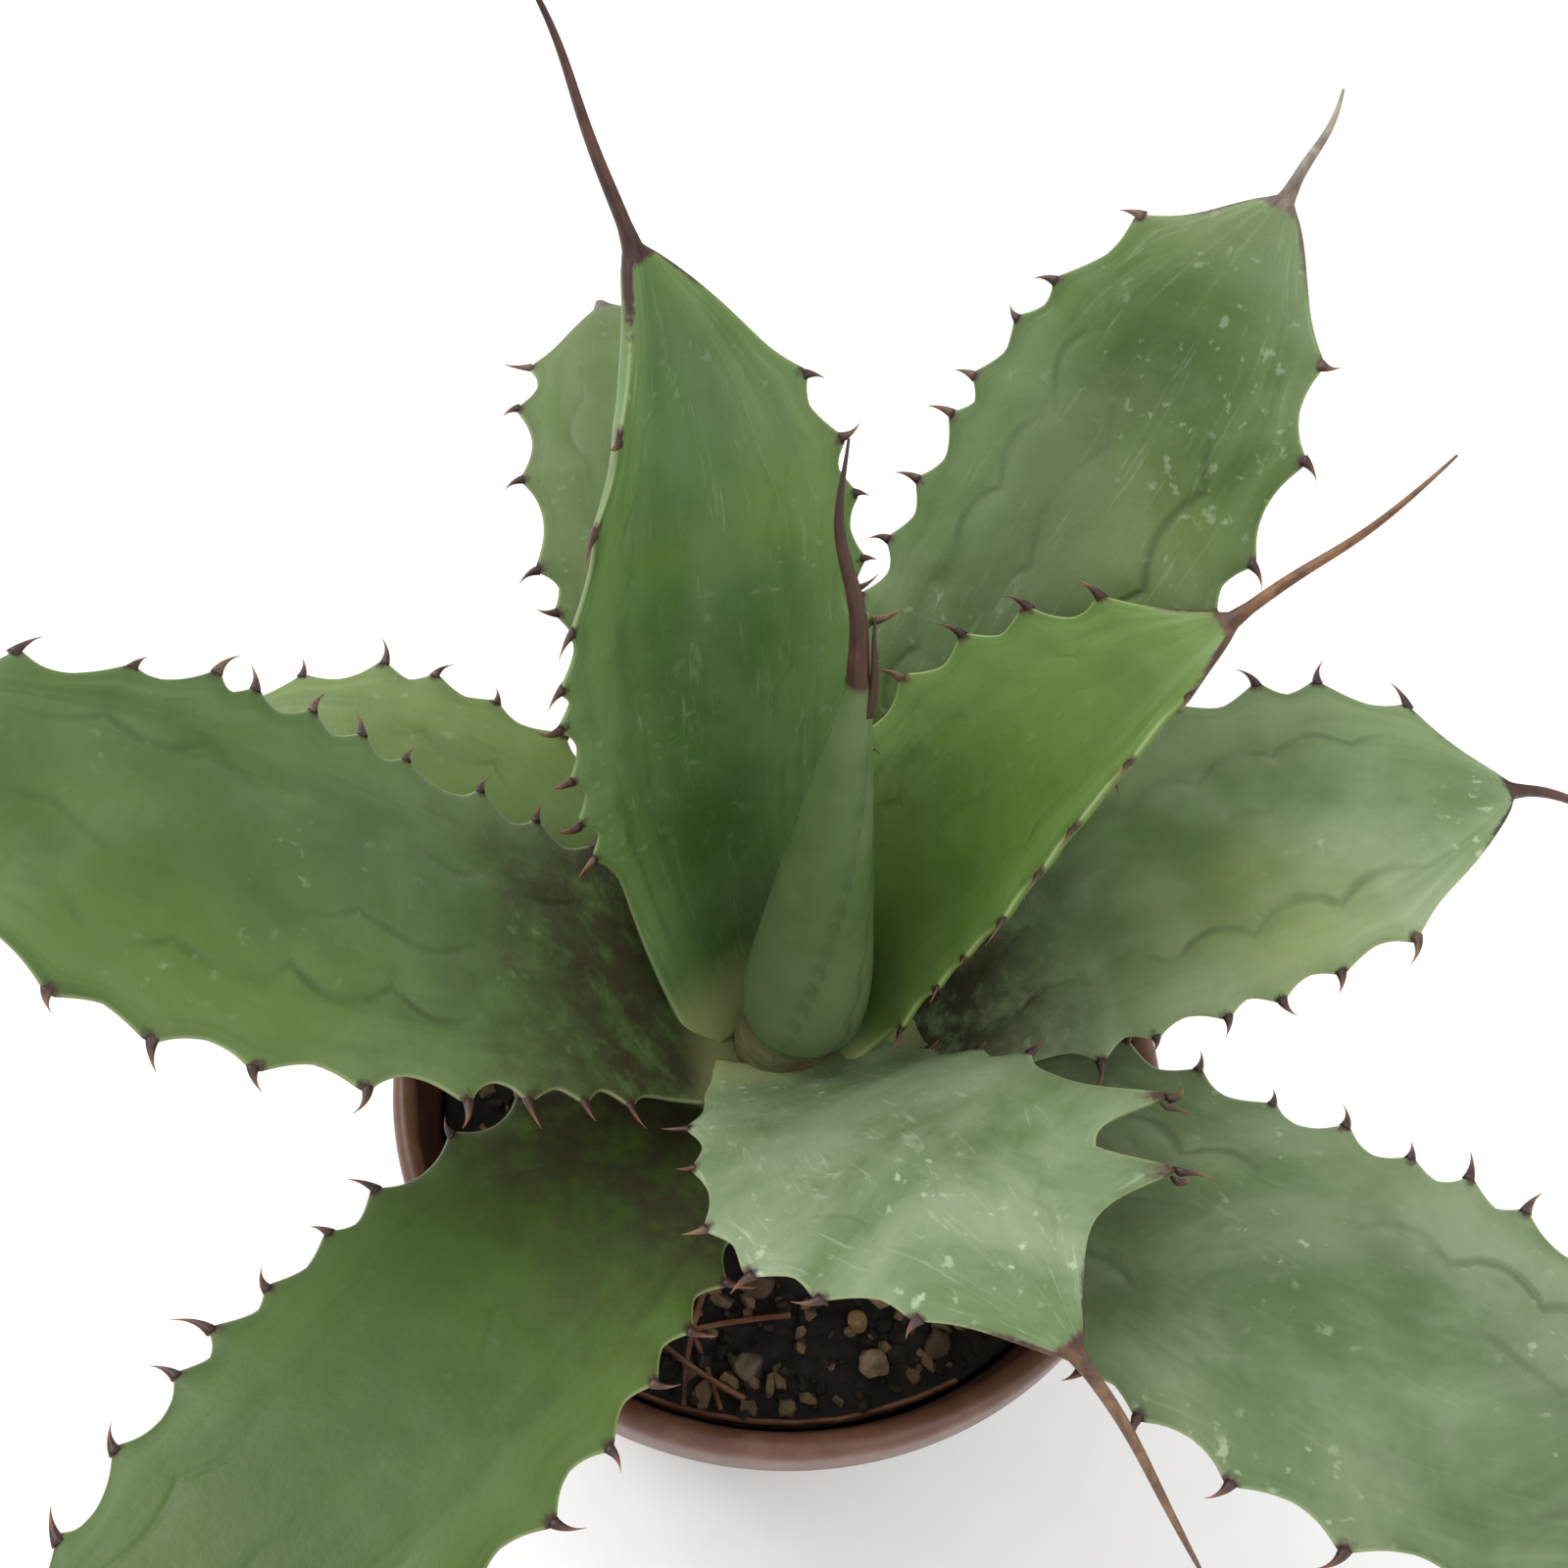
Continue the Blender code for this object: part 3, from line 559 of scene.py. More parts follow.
class Graph:
    """A short way to write a material's nodes."""

    def __init__(self, name):
        self.material = bpy.data.materials.new(name)
        self.material.use_nodes = True
        self.tree = self.material.node_tree
        self.shader = self.tree.nodes["Principled BSDF"]

    def put(self, socket, value):
        if hasattr(value, "is_output"):
            self.tree.links.new(value, socket)
        elif isinstance(value, tuple) and len(value) == 3 and socket.type == "RGBA":
            socket.default_value = (*value, 1)
        else:
            socket.default_value = value

    def node(self, kind, **values):
        """A new node with its sockets set or linked; _ in a socket's name stands for a space."""
        made = self.tree.nodes.new("ShaderNode" + kind)
        for name, value in values.items():
            self.put(made.inputs[name.replace("_", " ")], value)
        return made

    def attribute(self, name):
        made = self.node("Attribute")
        made.attribute_name = name
        return made.outputs["Fac"]

    def place(self):
        return self.node("TexCoord").outputs["Object"]

    def stretched(self, scale):
        return self.node("Mapping", Vector=self.place(), Scale=scale).outputs["Vector"]

    def joined(self, x, y, z):
        return self.node("CombineXYZ", X=x, Y=y, Z=z).outputs["Vector"]

    def noise(self, scale, detail=4.0, rough=0.55, vector=None, distortion=0.0):
        sockets = {"Scale": scale, "Detail": detail, "Roughness": rough, "Distortion": distortion}
        return self.node("TexNoise", Vector=vector or self.place(), **sockets).outputs["Fac"]

    def cells(self, scale):
        """How far each point is from the middle of its cell."""
        return self.node("TexVoronoi", Vector=self.place(), Scale=scale).outputs["Distance"]

    def band(self, value, low, high):
        """0 below low, 1 above high, smooth between; low may be the larger."""
        made = self.node("MapRange", Value=value, From_Min=min(low, high), From_Max=max(low, high))
        made.interpolation_type = "SMOOTHSTEP"
        made.inputs["To Min"].default_value = 0.0 if low < high else 1.0
        made.inputs["To Max"].default_value = 1.0 if low < high else 0.0
        return made.outputs["Result"]

    def math(self, kind, a, b=0.0):
        made = self.node("Math")
        made.operation = kind
        self.put(made.inputs[0], a)
        self.put(made.inputs[1], b)
        return made.outputs["Value"]

    def plus(self, a, b):
        return self.math("ADD", a, b)

    def minus(self, a, b):
        return self.math("SUBTRACT", a, b)

    def times(self, *values):
        result = values[0]
        for value in values[1:]:
            result = self.math("MULTIPLY", result, value)
        return result

    def mix(self, share, a, b):
        made = self.node("Mix")
        made.data_type = "RGBA"
        made.clamp_factor = True
        self.put(made.inputs["Factor"], share)
        self.put(made.inputs[6], a)
        self.put(made.inputs[7], b)
        return made.outputs[2]

    def bump(self, height, distance, strength=1.0):
        return self.node("Bump", Height=height, Distance=distance, Strength=strength).outputs["Normal"]

    def finish(self, colour, roughness, normal=None, **constants):
        self.put(self.shader.inputs["Base Color"], colour)
        self.put(self.shader.inputs["Roughness"], roughness)
        if normal is not None:
            self.put(self.shader.inputs["Normal"], normal)
        for name, value in constants.items():
            self.shader.inputs[name.replace("_", " ")].default_value = value
        return self.material


def toned(colour, amount):
    return tuple(min(1, amount * part) for part in colour)


def imprint_grooves_and_shade(g, share, across, shift):
    """The fine scalloped lines at the bottom of the bud imprints, from 0 to 1, fading out in places: where
    the skin gets painted shade and its bump is sunk.
    """
    lines = 0.0
    for place, period, lean, weight in IMPRINTS:
        turns = g.plus(g.times(share, math.pi * period), math.pi * (shift + place))
        wave = g.math("ABSOLUTE", g.math("SINE", turns))
        centre = g.plus(g.times(share, lean), place - 0.5 * lean)
        centre = g.plus(centre, g.times(wave, IMPRINT_WAVE))
        centre = g.plus(centre, g.times(g.minus(g.noise(28, 2, 0.5), 0.5), 0.3))
        off = g.math("ABSOLUTE", g.minus(across, centre))
        lines = g.math("MAXIMUM", lines, g.times(g.band(off, 0.055, 0.0), weight))
    ends = g.times(g.band(share, 0.14, 0.32), g.band(share, 0.94, 0.8))
    return g.times(lines, ends, g.band(g.noise(34, 3, 0.6), 0.44, 0.62))


def leaf_material(name, look, shift):
    """Green skin under a whitish bloom, with streaks, bud imprints with painted shade in their grooves,
    scars, a stained base and a horny tip.
    """
    g = Graph(name)
    share, across, face = g.attribute("share"), g.attribute("across"), g.attribute("face")
    horn = g.attribute("horn")
    upper = g.band(face, 0.0, 0.5)
    crease_shade = g.times(imprint_grooves_and_shade(g, share, across, shift), upper, look.imprint)
    from_middle = g.math("ABSOLUTE", across)
    on_leaf = g.joined(g.times(across, 3.2), g.times(share, 1.6), face)
    patches = g.noise(2.2, 3, 0.5, on_leaf, 0.4)
    clouds = g.noise(42, 5, 0.6)
    grain = g.noise(900, 3, 0.6)
    specks = g.noise(420, 2, 0.5)
    dark = toned(look.colour, 0.72)
    colour = g.mix(g.band(clouds, 0.3, 0.7), dark, look.colour)
    to_edge = g.times(g.band(from_middle, 0.25, 0.95), g.band(patches, 0.25, 0.6))
    colour = g.mix(to_edge, colour, look.edge_colour)
    yellow = (look.edge_colour[0] * 1.15, look.edge_colour[1] * 1.05, look.edge_colour[2] * 0.55)
    colour = g.mix(g.times(g.band(g.noise(17, 3, 0.5), 0.52, 0.74), 0.55), colour, yellow)
    bloom = g.times(g.band(g.noise(26, 6, 0.62, None, 0.5), 0.34, 0.66), look.bloom * 0.75)
    colour = g.mix(bloom, colour, BLOOM)
    bloom_flecks = g.times(g.band(specks, 0.62, 0.72), g.band(g.noise(30, 4, 0.6), 0.45, 0.62), look.bloom)
    colour = g.mix(bloom_flecks, colour, toned(BLOOM, 1.25))
    long_way = g.joined(g.times(across, 13), g.times(share, 8.0), face)
    streak = g.times(g.band(g.noise(1.0, 6, 0.7, long_way, 1.0), 0.56, 0.72), look.streaks * 0.5)
    colour = g.mix(streak, colour, toned(BLOOM, 1.15))
    # painted shade: the skin is darkened along the bottom of the imprint grooves
    colour = g.mix(g.times(crease_shade, 0.5), colour, toned(look.colour, 0.42))
    scar_cells = g.cells(62)
    scar_here = g.band(g.noise(48, 2, 0.5), 0.66, 0.72)
    scar = g.times(g.band(scar_cells, 0.16, 0.09), scar_here, look.scars)
    colour = g.mix(scar, colour, (0.48, 0.4, 0.26))
    scar_core = g.times(g.band(scar_cells, 0.08, 0.04), scar_here, look.scars)
    colour = g.mix(scar_core, colour, (0.16, 0.1, 0.05))
    stain_edge = g.plus(share, g.times(g.minus(g.noise(55, 5, 0.7), 0.5), 0.34))
    blotches = g.band(g.noise(120, 5, 0.7), 0.26, 0.58)
    stain = g.times(g.band(stain_edge, 0.5, 0.2), blotches, look.stain * 0.95)
    colour = g.mix(stain, colour, (0.034, 0.026, 0.014))
    colour = g.mix(g.times(g.band(share, 0.13, 0.03), 0.75), colour, (0.34, 0.36, 0.16))
    colour = g.mix(g.times(g.band(from_middle, 0.982, 1.0), 0.42), colour, PALE_MARGIN)
    horn_edge = g.band(g.plus(horn, g.times(g.minus(grain, 0.5), 0.5)), 0.3, 0.62)
    colour = g.mix(horn_edge, colour, horn_colour(g, look.horn))
    skin_rough = g.plus(g.times(clouds, 0.18), 0.36 + 0.14 * look.bloom)
    height = g.plus(g.times(grain, 0.35), g.times(g.noise(210, 4, 0.6), 0.65))
    height = g.minus(height, g.plus(g.times(scar, 0.8), g.times(crease_shade, 1.6)))
    made = g.finish(colour, skin_rough, g.bump(height, 0.00022, 0.8), Subsurface_Weight=0.06, IOR=1.42)
    g.shader.inputs["Subsurface Radius"].default_value = (0.6, 1.0, 0.3)
    g.shader.inputs["Subsurface Scale"].default_value = 0.002
    return made


def horn_colour(g, base):
    """Dry horn: dark at its root, with long lighter streaks."""
    light = (2.0 * base[0] + 0.02, 2.0 * base[1] + 0.012, 1.6 * base[2] + 0.006)
    fibres = g.noise(240, 4, 0.65, g.stretched((1.0, 1.0, 0.35)), 0.6)
    colour = g.mix(g.band(fibres, 0.38, 0.68), base, light)
    root = g.band(g.plus(g.attribute("share"), g.times(fibres, 0.1)), 1.14, 1.00)
    return g.mix(g.times(root, 0.75), colour, HORN_DARK)


def horn_material(node):
    """The teeth's horn, purplish black at the root and red-brown to tan at the point."""
    g = Graph(node + "_teeth")
    share = g.attribute("share")
    fibres = g.noise(700, 3, 0.6)
    towards_point = g.band(g.plus(share, g.times(fibres, 0.3)), 0.35, 1.05)
    colour = g.mix(towards_point, HORN_DARK, (0.2, 0.075, 0.035))
    colour = g.mix(g.times(g.band(g.noise(160, 2, 0.5), 0.55, 0.7), 0.5), colour, (0.24, 0.13, 0.07))
    return g.finish(colour, g.plus(g.times(fibres, 0.2), 0.35), g.bump(fibres, 0.0001, 0.6))


def spear_material():
    g = Graph("spear_fine_skin")
    crease_shade, share, horn = g.attribute("crease_shade"), g.attribute("share"), g.attribute("horn")
    clouds = g.noise(60, 5, 0.6)
    colour = g.mix(g.band(clouds, 0.3, 0.7), (0.052, 0.098, 0.02), (0.08, 0.13, 0.036))
    colour = g.mix(g.band(share, 0.45, 0.0), colour, (0.125, 0.18, 0.076))
    colour = g.mix(g.times(g.band(g.noise(24, 5, 0.6), 0.4, 0.66), 0.32), colour, (0.18, 0.24, 0.13))
    # painted shade: darker along the lapped seam's crease and the imprint grooves
    colour = g.mix(g.times(crease_shade, 0.55), colour, (0.04, 0.065, 0.018))
    colour = g.mix(horn, colour, horn_colour(g, (0.046, 0.018, 0.012)))
    height = g.plus(g.times(g.noise(800, 3, 0.6), 0.4), g.times(clouds, 0.6))
    return g.finish(colour, g.plus(g.times(clouds, 0.2), 0.38), g.bump(height, 0.0002, 0.7), IOR=1.42)


def pot_material():
    """Moulded red-brown plastic: fine turning lines, dusty rubs, lighter wear on the lip and painted shade
    darkening the inner wall.
    """
    g = Graph("pot_moulded_plastic")
    rings = g.noise(3.0, 2, 0.5, g.stretched((1.0, 1.0, 320.0)))
    dust = g.noise(70, 6, 0.65, None, 0.3)
    grain = g.noise(1500, 2, 0.5)
    colour = g.mix(g.band(g.noise(14, 4, 0.55), 0.3, 0.7), (0.1, 0.038, 0.023), (0.142, 0.056, 0.034))
    colour = g.mix(g.times(g.band(dust, 0.54, 0.76), 0.18), colour, (0.28, 0.16, 0.11))
    # painted shade: the inner wall is darkened
    colour = g.mix(g.times(g.attribute("inside"), 0.72), colour, (0.07, 0.022, 0.014))
    worn = g.times(g.attribute("lip"), g.band(g.noise(150, 5, 0.7), 0.42, 0.66))
    colour = g.mix(g.times(worn, 0.2), colour, (0.32, 0.18, 0.12))
    height = g.plus(g.times(rings, 0.5), g.times(grain, 0.5))
    return g.finish(colour, g.plus(g.times(dust, 0.22), 0.26), g.bump(height, 0.0001, 0.5), IOR=1.49)


def soil_material():
    g = Graph("soil_damp_mix")
    crumbs = g.cells(420)
    clods = g.noise(120, 6, 0.7)
    colour = g.mix(g.band(clods, 0.35, 0.7), (0.0045, 0.003, 0.0022), (0.02, 0.012, 0.007))
    colour = g.mix(g.times(g.band(crumbs, 0.3, 0.12), 0.5), colour, (0.034, 0.02, 0.011))
    height = g.plus(g.times(clods, 0.6), g.times(crumbs, 0.4))
    return g.finish(colour, g.plus(g.times(clods, 0.2), 0.72), g.bump(height, 0.0009, 1.0))


def crumb_material():
    g = Graph("soil_crumb_bark")
    tint = g.attribute("tint")
    grain = g.noise(600, 4, 0.7)
    colour = g.mix(g.band(tint, 0.0, 0.8), (0.005, 0.0035, 0.0025), (0.03, 0.017, 0.009))
    colour = g.mix(g.band(tint, 0.87, 0.9), colour, (0.19, 0.12, 0.062))
    colour = g.mix(g.times(g.band(grain, 0.5, 0.7), 0.5), colour, (0.045, 0.028, 0.016))
    return g.finish(colour, g.plus(g.times(grain, 0.2), 0.7), g.bump(grain, 0.0005, 0.9))


def stone_material(number):
    """Weathered gravel, each stone in its own tan, grey, yellow or brown."""
    base = STONE_TINTS[number % len(STONE_TINTS)]
    g = Graph(f"grit_stone_{number:02d}")
    mottle = g.noise(340, 5, 0.7)
    grain = g.noise(1800, 3, 0.6)
    colour = g.mix(g.band(mottle, 0.34, 0.66), toned(base, 0.5), base)
    colour = g.mix(g.times(g.band(grain, 0.58, 0.7), 0.5), colour, toned(base, 1.6))
    colour = g.mix(g.times(g.band(g.noise(160, 3, 0.6), 0.58, 0.68), 0.5), colour, (0.03, 0.019, 0.011))
    height = g.plus(g.times(mottle, 0.7), g.times(grain, 0.3))
    return g.finish(colour, g.plus(g.times(mottle, 0.25), 0.62), g.bump(height, 0.0004, 0.9))


def needle_material(number):
    g = Graph(f"dry_needle_straw_{number}")
    fibres = g.noise(500, 4, 0.6, g.stretched((0.2, 1.0, 1.0)))
    red, tan = (0.15, 0.045, 0.022), (0.26, 0.12, 0.055)
    colour = g.mix(g.band(fibres, 0.35, 0.68), red, tan)
    colour = g.mix(g.band(g.noise(70, 2, 0.5), 0.55, 0.75), colour, (0.05, 0.022, 0.014))
    return g.finish(colour, g.plus(g.times(fibres, 0.2), 0.5), g.bump(fibres, 0.0002, 0.8))


def stem_material():
    g = Graph("stem_dry_scales")
    scales = g.noise(160, 5, 0.7, g.stretched((1.0, 1.0, 4.0)), 0.8)
    colour = g.mix(g.band(scales, 0.32, 0.68), (0.085, 0.06, 0.025), (0.27, 0.215, 0.11))
    colour = g.mix(g.times(g.band(g.noise(60, 3, 0.6), 0.35, 0.6), 0.8), colour, (0.15, 0.175, 0.07))
    return g.finish(colour, g.plus(g.times(scales, 0.2), 0.68), g.bump(scales, 0.0008, 0.9))


def floor_material():
    g = Graph("floor_paper")
    tooth_grain = g.noise(60, 3, 0.5)
    colour = g.mix(g.band(tooth_grain, 0.3, 0.7), (0.93, 0.93, 0.93), (0.95, 0.95, 0.95))
    return g.finish(colour, 0.9)


# ---- other pieces


def add_piece(name, form, materials):
    """Puts the bmesh in the scene as a smooth-shaded piece that rides on the plant."""
    bmesh.ops.recalc_face_normals(form, faces=form.faces)
    mesh = bpy.data.meshes.new(name)
    form.to_mesh(mesh)
    form.free()
    for material in materials:
        mesh.materials.append(material)
    mesh.shade_smooth()
    piece = bpy.data.objects.new(name, mesh)
    bpy.context.scene.collection.objects.link(piece)
    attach(piece, "root")
    return piece


def make_spear():
    """The closed young leaf: a rolled cone with a lapped seam, bud imprints and a long wavy spine."""
    points, _ = cad_mesh("central_spear")
    heights = np.unique(np.round(points[:, 2], 5))
    stations = []
    for height in heights:
        level = points[np.abs(points[:, 2] - height) < 2e-5]
        if len(level) >= 6:
            middle = level.mean(axis=0)
            stations.append((height, *middle[:2], np.linalg.norm(level[:, :2] - middle[:2], axis=1).mean()))
    stations = np.array(stations)
    low, high = stations[0, 0], stations[-1, 0]
    neck = stations[np.argmin(np.abs(stations[:, 0] - (low + NECK_SHARE * (high - low)))), 0]
    rows, sides = 170, 72
    form = bmesh.new()
    layers = float_layers(form, "share", "crease_shade", "horn")
    even = np.linspace(low, high, rows)
    radii = np.interp(even, stations[:, 0], stations[:, 3])
    towards_neck = np.clip((even - low) / (neck - low), 0, 1)
    past_neck = np.clip((even - neck) / (high - neck), 0, 1)
    radii = np.where(even < neck, radii * (1 - 0.42 * towards_neck**5), 1.55 * MM * (1 - past_neck) ** 0.75)
    radii = smooth(np.maximum(radii, 0.18 * MM), 3)
    loops = []
    for row, height in enumerate(even):
        middle = [np.interp(height, stations[:, 0], stations[:, k]) for k in (1, 2)]
        past = max(0.0, (height - neck) / (high - neck))
        share = min(1.0, (height - low) / (neck - low))
        swing = 1.1 * MM * math.sin(2.3 * math.pi * past) * past**0.6
        seam = -1.9 + 1.5 * share
        loop = []
        for side in range(sides):
            angle = math.tau * side / sides
            turn = (angle - seam) % math.tau
            lap = math.exp(-turn / 0.9) - 0.5 * math.exp(-((math.tau - turn) / 0.1))
            ripple = abs(math.sin(math.pi * share * 8)) * 0.16
            from_lines = (turn - 0.85 - ripple, turn - 4.1 + ripple)
            line = sum(math.exp(-((off / 0.05) ** 2)) for off in from_lines)
            lapped = 0.1 * lap * (1 - past) * min(1, 6 * share * (1.05 - share))
            radius = radii[row] * (0.97 + lapped) - 0.22 * MM * line * (past == 0)
            spot = Vector((math.cos(angle), math.sin(angle), height * 30))
            radius += 0.12 * MM * noise.noise(spot * 2) * (1 - past)
            x = middle[0] + swing + radius * math.cos(angle)
            y = middle[1] + 0.5 * swing + radius * math.sin(angle)
            vert = form.verts.new((x, y, height))
            vert[layers["share"]] = share
            # painted shade mask: the imprint lines and the lapped seam's edge, darkened in the skin
            vert[layers["crease_shade"]] = min(1.0, line + math.exp(-turn / 0.05)) * (past == 0)
            vert[layers["horn"]] = min(1.0, max(0.0, (height - neck + 1.0 * MM) / (0.7 * MM)))
            loop.append(vert)
        loops.append(loop)
    close_loops(form, loops)
    piece = add_piece("central_spear_fine", form, [spear_material()])
    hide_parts("central_spear")
    make_sliver(neck, stations)


def make_sliver(neck, stations):
    """The tip of the next leaf's spine, pressed against the spear's."""
    form = bmesh.new()
    layers = float_layers(form, "share", "crease_shade", "horn")
    base = [np.interp(neck, stations[:, 0], stations[:, k]) for k in (1, 2)]
    length = 0.45 * (stations[-1, 0] - neck)
    loops = []
    steps, sides = 24, 12
    for step in range(steps + 1):
        share = step / steps
        x = base[0] + (1.9 - 0.7 * share) * MM + 0.4 * MM * math.sin(5 * share)
        y = base[1] - 1.0 * MM * (1 - share)
        z = neck - 6 * MM + length * share
        radius = (0.75 * (1 - share) ** 0.8 + 0.08) * MM
        loop = []
        for side in range(sides):
            angle = math.tau * side / sides
            vert = form.verts.new((x + radius * math.cos(angle), y + 0.8 * radius * math.sin(angle), z))
            vert[layers["horn"]] = 1.0
            loop.append(vert)
        loops.append(loop)
    close_loops(form, loops)
    piece = add_piece("central_spear_sliver", form, [spear_material()])


def spun(form, profile, sides, layers):
    """Quads turned about Z through (radius, height, inner painted shade, lip) points."""
    loops = []
    for radius, height, inside, lip in profile:
        loop = level_ring(form, radius, height, sides)
        for vert in loop:
            vert[layers["inside"]] = inside
            vert[layers["lip"]] = lip
        loops.append(loop)
    for low, high in zip(loops, loops[1:]):
        bridge(form, low, high)
    return loops


def pot_sizes():
    """Measurements of the CAD pot: its rim radius, height, throat radius, foot radius and lip depth."""
    points, _ = cad_mesh("pot")
    radius = np.hypot(points[:, 0], points[:, 1])
    height = points[:, 2]
    top = height.max()
    near_top = height > top - 6 * MM
    throat = radius[near_top].min()
    foot = radius[height < 2 * MM].max()
    lip_bottom = height[(radius > radius.max() - 2 * MM) & (height < top - 4 * MM)].min()
    return radius.max(), top, throat, foot, lip_bottom


def make_pot():
    """The pot's wall and rolled lip at full roundness; the CAD's drained floor is rebuilt with its holes."""
    rim, top, throat, foot, lip_bottom = pot_sizes()
    overhang = rim - throat - POT_WALL
    shoulder = throat + POT_WALL
    profile = []

    def add(radius, height, inside=0.0, lip=0.0):
        profile.append((radius, height, inside, lip))

    def outer(height):
        return foot + (shoulder - foot) * height / top

    add(foot - FOOT_RING, 0)
    add(foot - 1.2 * MM, 0)
    add(foot - 0.3 * MM, 0.35 * MM)
    add(outer(1.3 * MM), 1.3 * MM)
    for step in range(1, 25):
        height = 1.3 * MM + (lip_bottom - 2.3 * MM) * step / 24
        groove = -0.35 * MM if step in (3, 4) else 0.0
        add(outer(height) + groove, height)
    add(outer(lip_bottom), lip_bottom - 0.2 * MM)
    add(rim - 0.45 * overhang, lip_bottom)
    add(rim - 0.12 * overhang, lip_bottom + 0.25 * MM, 0, 0.3)
    add(rim, lip_bottom + 1.1 * MM, 0, 0.4)
    tube = (rim - throat) / 2
    # painted shade grows over the roll's inner side
    for step in range(13):
        angle = math.pi * step / 12
        add(rim - tube + tube * math.cos(angle), top - tube + tube * math.sin(angle), max(0, step - 9) / 3, 1)
    soil_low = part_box("soil")[0].z
    # the inner wall down to the soil gets full painted shade
    for step in range(1, 21):
        height = top - tube - (top - tube - soil_low) * step / 20
        add(min(throat, outer(height) - POT_WALL), height, 1)
    add(8 * MM, soil_low, 1)
    form = bmesh.new()
    layers = float_layers(form, "inside", "lip")
    loops = spun(form, profile, 192, layers)
    form.faces.new(loops[-1])
    add_underside(form, loops[0], foot)
    piece = add_piece("pot_fine", form, [pot_material()])
    piece.data.set_sharp_from_angle(angle=math.radians(50))
    drill(piece, foot, soil_low)
    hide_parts("pot")


def add_underside(form, ring, foot):
    """The raised channel and the middle disc under the pot's floor, joined to the foot ring."""
    channel = (foot - FOOT_RING - CHANNEL_SLOPE, DISC_RADIUS + CHANNEL_SLOPE)
    radii = [(radius, CHANNEL_HEIGHT) for radius in channel] + [(DISC_RADIUS, 0), (0.5 * MM, 0)]
    for radius, level in radii:
        loop = level_ring(form, radius, level, len(ring))
        bridge(form, ring, loop)
        ring = loop
    form.faces.new(ring)


def drill(piece, foot, floor):
    """Cuts the drain holes in the channel."""
    cutter_form = bmesh.new()
    ring = (DISC_RADIUS + foot - FOOT_RING) / 2
    for index in range(DRAIN_HOLES):
        angle = math.tau * index / DRAIN_HOLES
        place = Matrix.Translation((ring * math.cos(angle), ring * math.sin(angle), floor / 2))
        bmesh.ops.create_cone(cutter_form, cap_ends=True, segments=40, radius1=DRAIN_RADIUS,
                              radius2=DRAIN_RADIUS, depth=3 * floor, matrix=place)
    mesh = bpy.data.meshes.new("drill")
    cutter_form.to_mesh(mesh)
    cutter_form.free()
    cutter = bpy.data.objects.new("drill", mesh)
    bpy.context.scene.collection.objects.link(cutter)
    boolean = piece.modifiers.new("drain", "BOOLEAN")
    boolean.operation = "DIFFERENCE"
    boolean.solver = "EXACT"
    boolean.object = cutter
    bpy.context.view_layer.update()
    evaluated = piece.evaluated_get(bpy.context.evaluated_depsgraph_get())
    result = bpy.data.meshes.new_from_object(evaluated)
    piece.modifiers.clear()
    piece.data = result
    bpy.data.objects.remove(cutter, do_unlink=True)


def soil_level(x, y, base):
    """The crumbly top of the soil."""
    place = Vector((x, y, 0))
    return base + sum(height * MM * noise.noise(place * scale) for height, scale in SOIL_LUMPS)


def make_soil():
    """A crumbly surface with a mulch of bark crumbs, over the CAD soil's space."""
    low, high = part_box("soil")
    edge = high.x - 0.2 * MM
    form = bmesh.new()
    rows, sides = 64, 220
    surface = high.z - SOIL_SKIN
    middle = form.verts.new((0, 0, soil_level(0, 0, surface)))
    before = None
    for row in range(1, rows + 1):
        loop = level_ring(form, edge * row / rows, 0, sides)
        for vert in loop:
            vert.co.z = soil_level(vert.co.x, vert.co.y, surface)
        if before:
            bridge(form, before, loop)
        else:
            for side in range(sides):
                form.faces.new((middle, loop[side], loop[(side + 1) % sides]))
        before = loop
    foot = pot_sizes()[3]
    slope = (edge - foot + 2.2 * MM) / (high.z - low.z)
    for share in (0.1, 0.5, 1.0):
        level = high.z - 2 * MM + (low.z + 0.3 * MM - high.z + 2 * MM) * share
        loop = level_ring(form, edge - slope * (high.z - level), level, sides)
        bridge(form, before, loop)
        before = loop
    form.faces.new(before)
    piece = add_piece("soil_fine", form, [soil_material()])
    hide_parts("soil")
    make_crumbs(edge, surface)


def make_crumbs(edge, base):
    """Bark and peat crumbs, thickest near the wall."""
    chance = random.Random("crumbs")
    form = bmesh.new()
    tint = form.verts.layers.float.new("tint")
    for _ in range(CRUMBS):
        reach = (edge - 1.5 * MM) * math.sqrt(chance.uniform(0.08, 1.0))
        angle = chance.uniform(0, math.tau)
        x, y = reach * math.cos(angle), reach * math.sin(angle)
        size = MM * chance.choice((0.5, 0.6, 0.8, 1.0, 1.3, 1.7))
        shade = chance.random()
        if reach > 0.6 * edge and chance.random() < 0.16:
            size, shade = MM * chance.uniform(1.2, 2.2), chance.uniform(0.9, 1.0)
        place = Matrix.Translation((x, y, soil_level(x, y, base) + 0.25 * size))
        turn = Matrix.Rotation(chance.uniform(0, math.tau), 4, Vector((chance.random(), chance.random(), 1)))
        spans = (chance.uniform(0.7, 1.7), chance.uniform(0.6, 1.1), chance.uniform(0.4, 0.8), 1)
        stretch = Matrix.Diagonal(spans)
        made = bmesh.ops.create_icosphere(form, subdivisions=1, radius=size, matrix=place @ turn @ stretch)
        for vert in made["verts"]:
            vert[tint] = shade
            jolt = Vector((chance.uniform(-1, 1), chance.uniform(-1, 1), chance.uniform(-1, 1)))
            vert.co += jolt * 0.18 * size
    piece = add_piece("soil_crumbs", form, [crumb_material()])
    piece.data.set_sharp_from_angle(angle=math.radians(35))


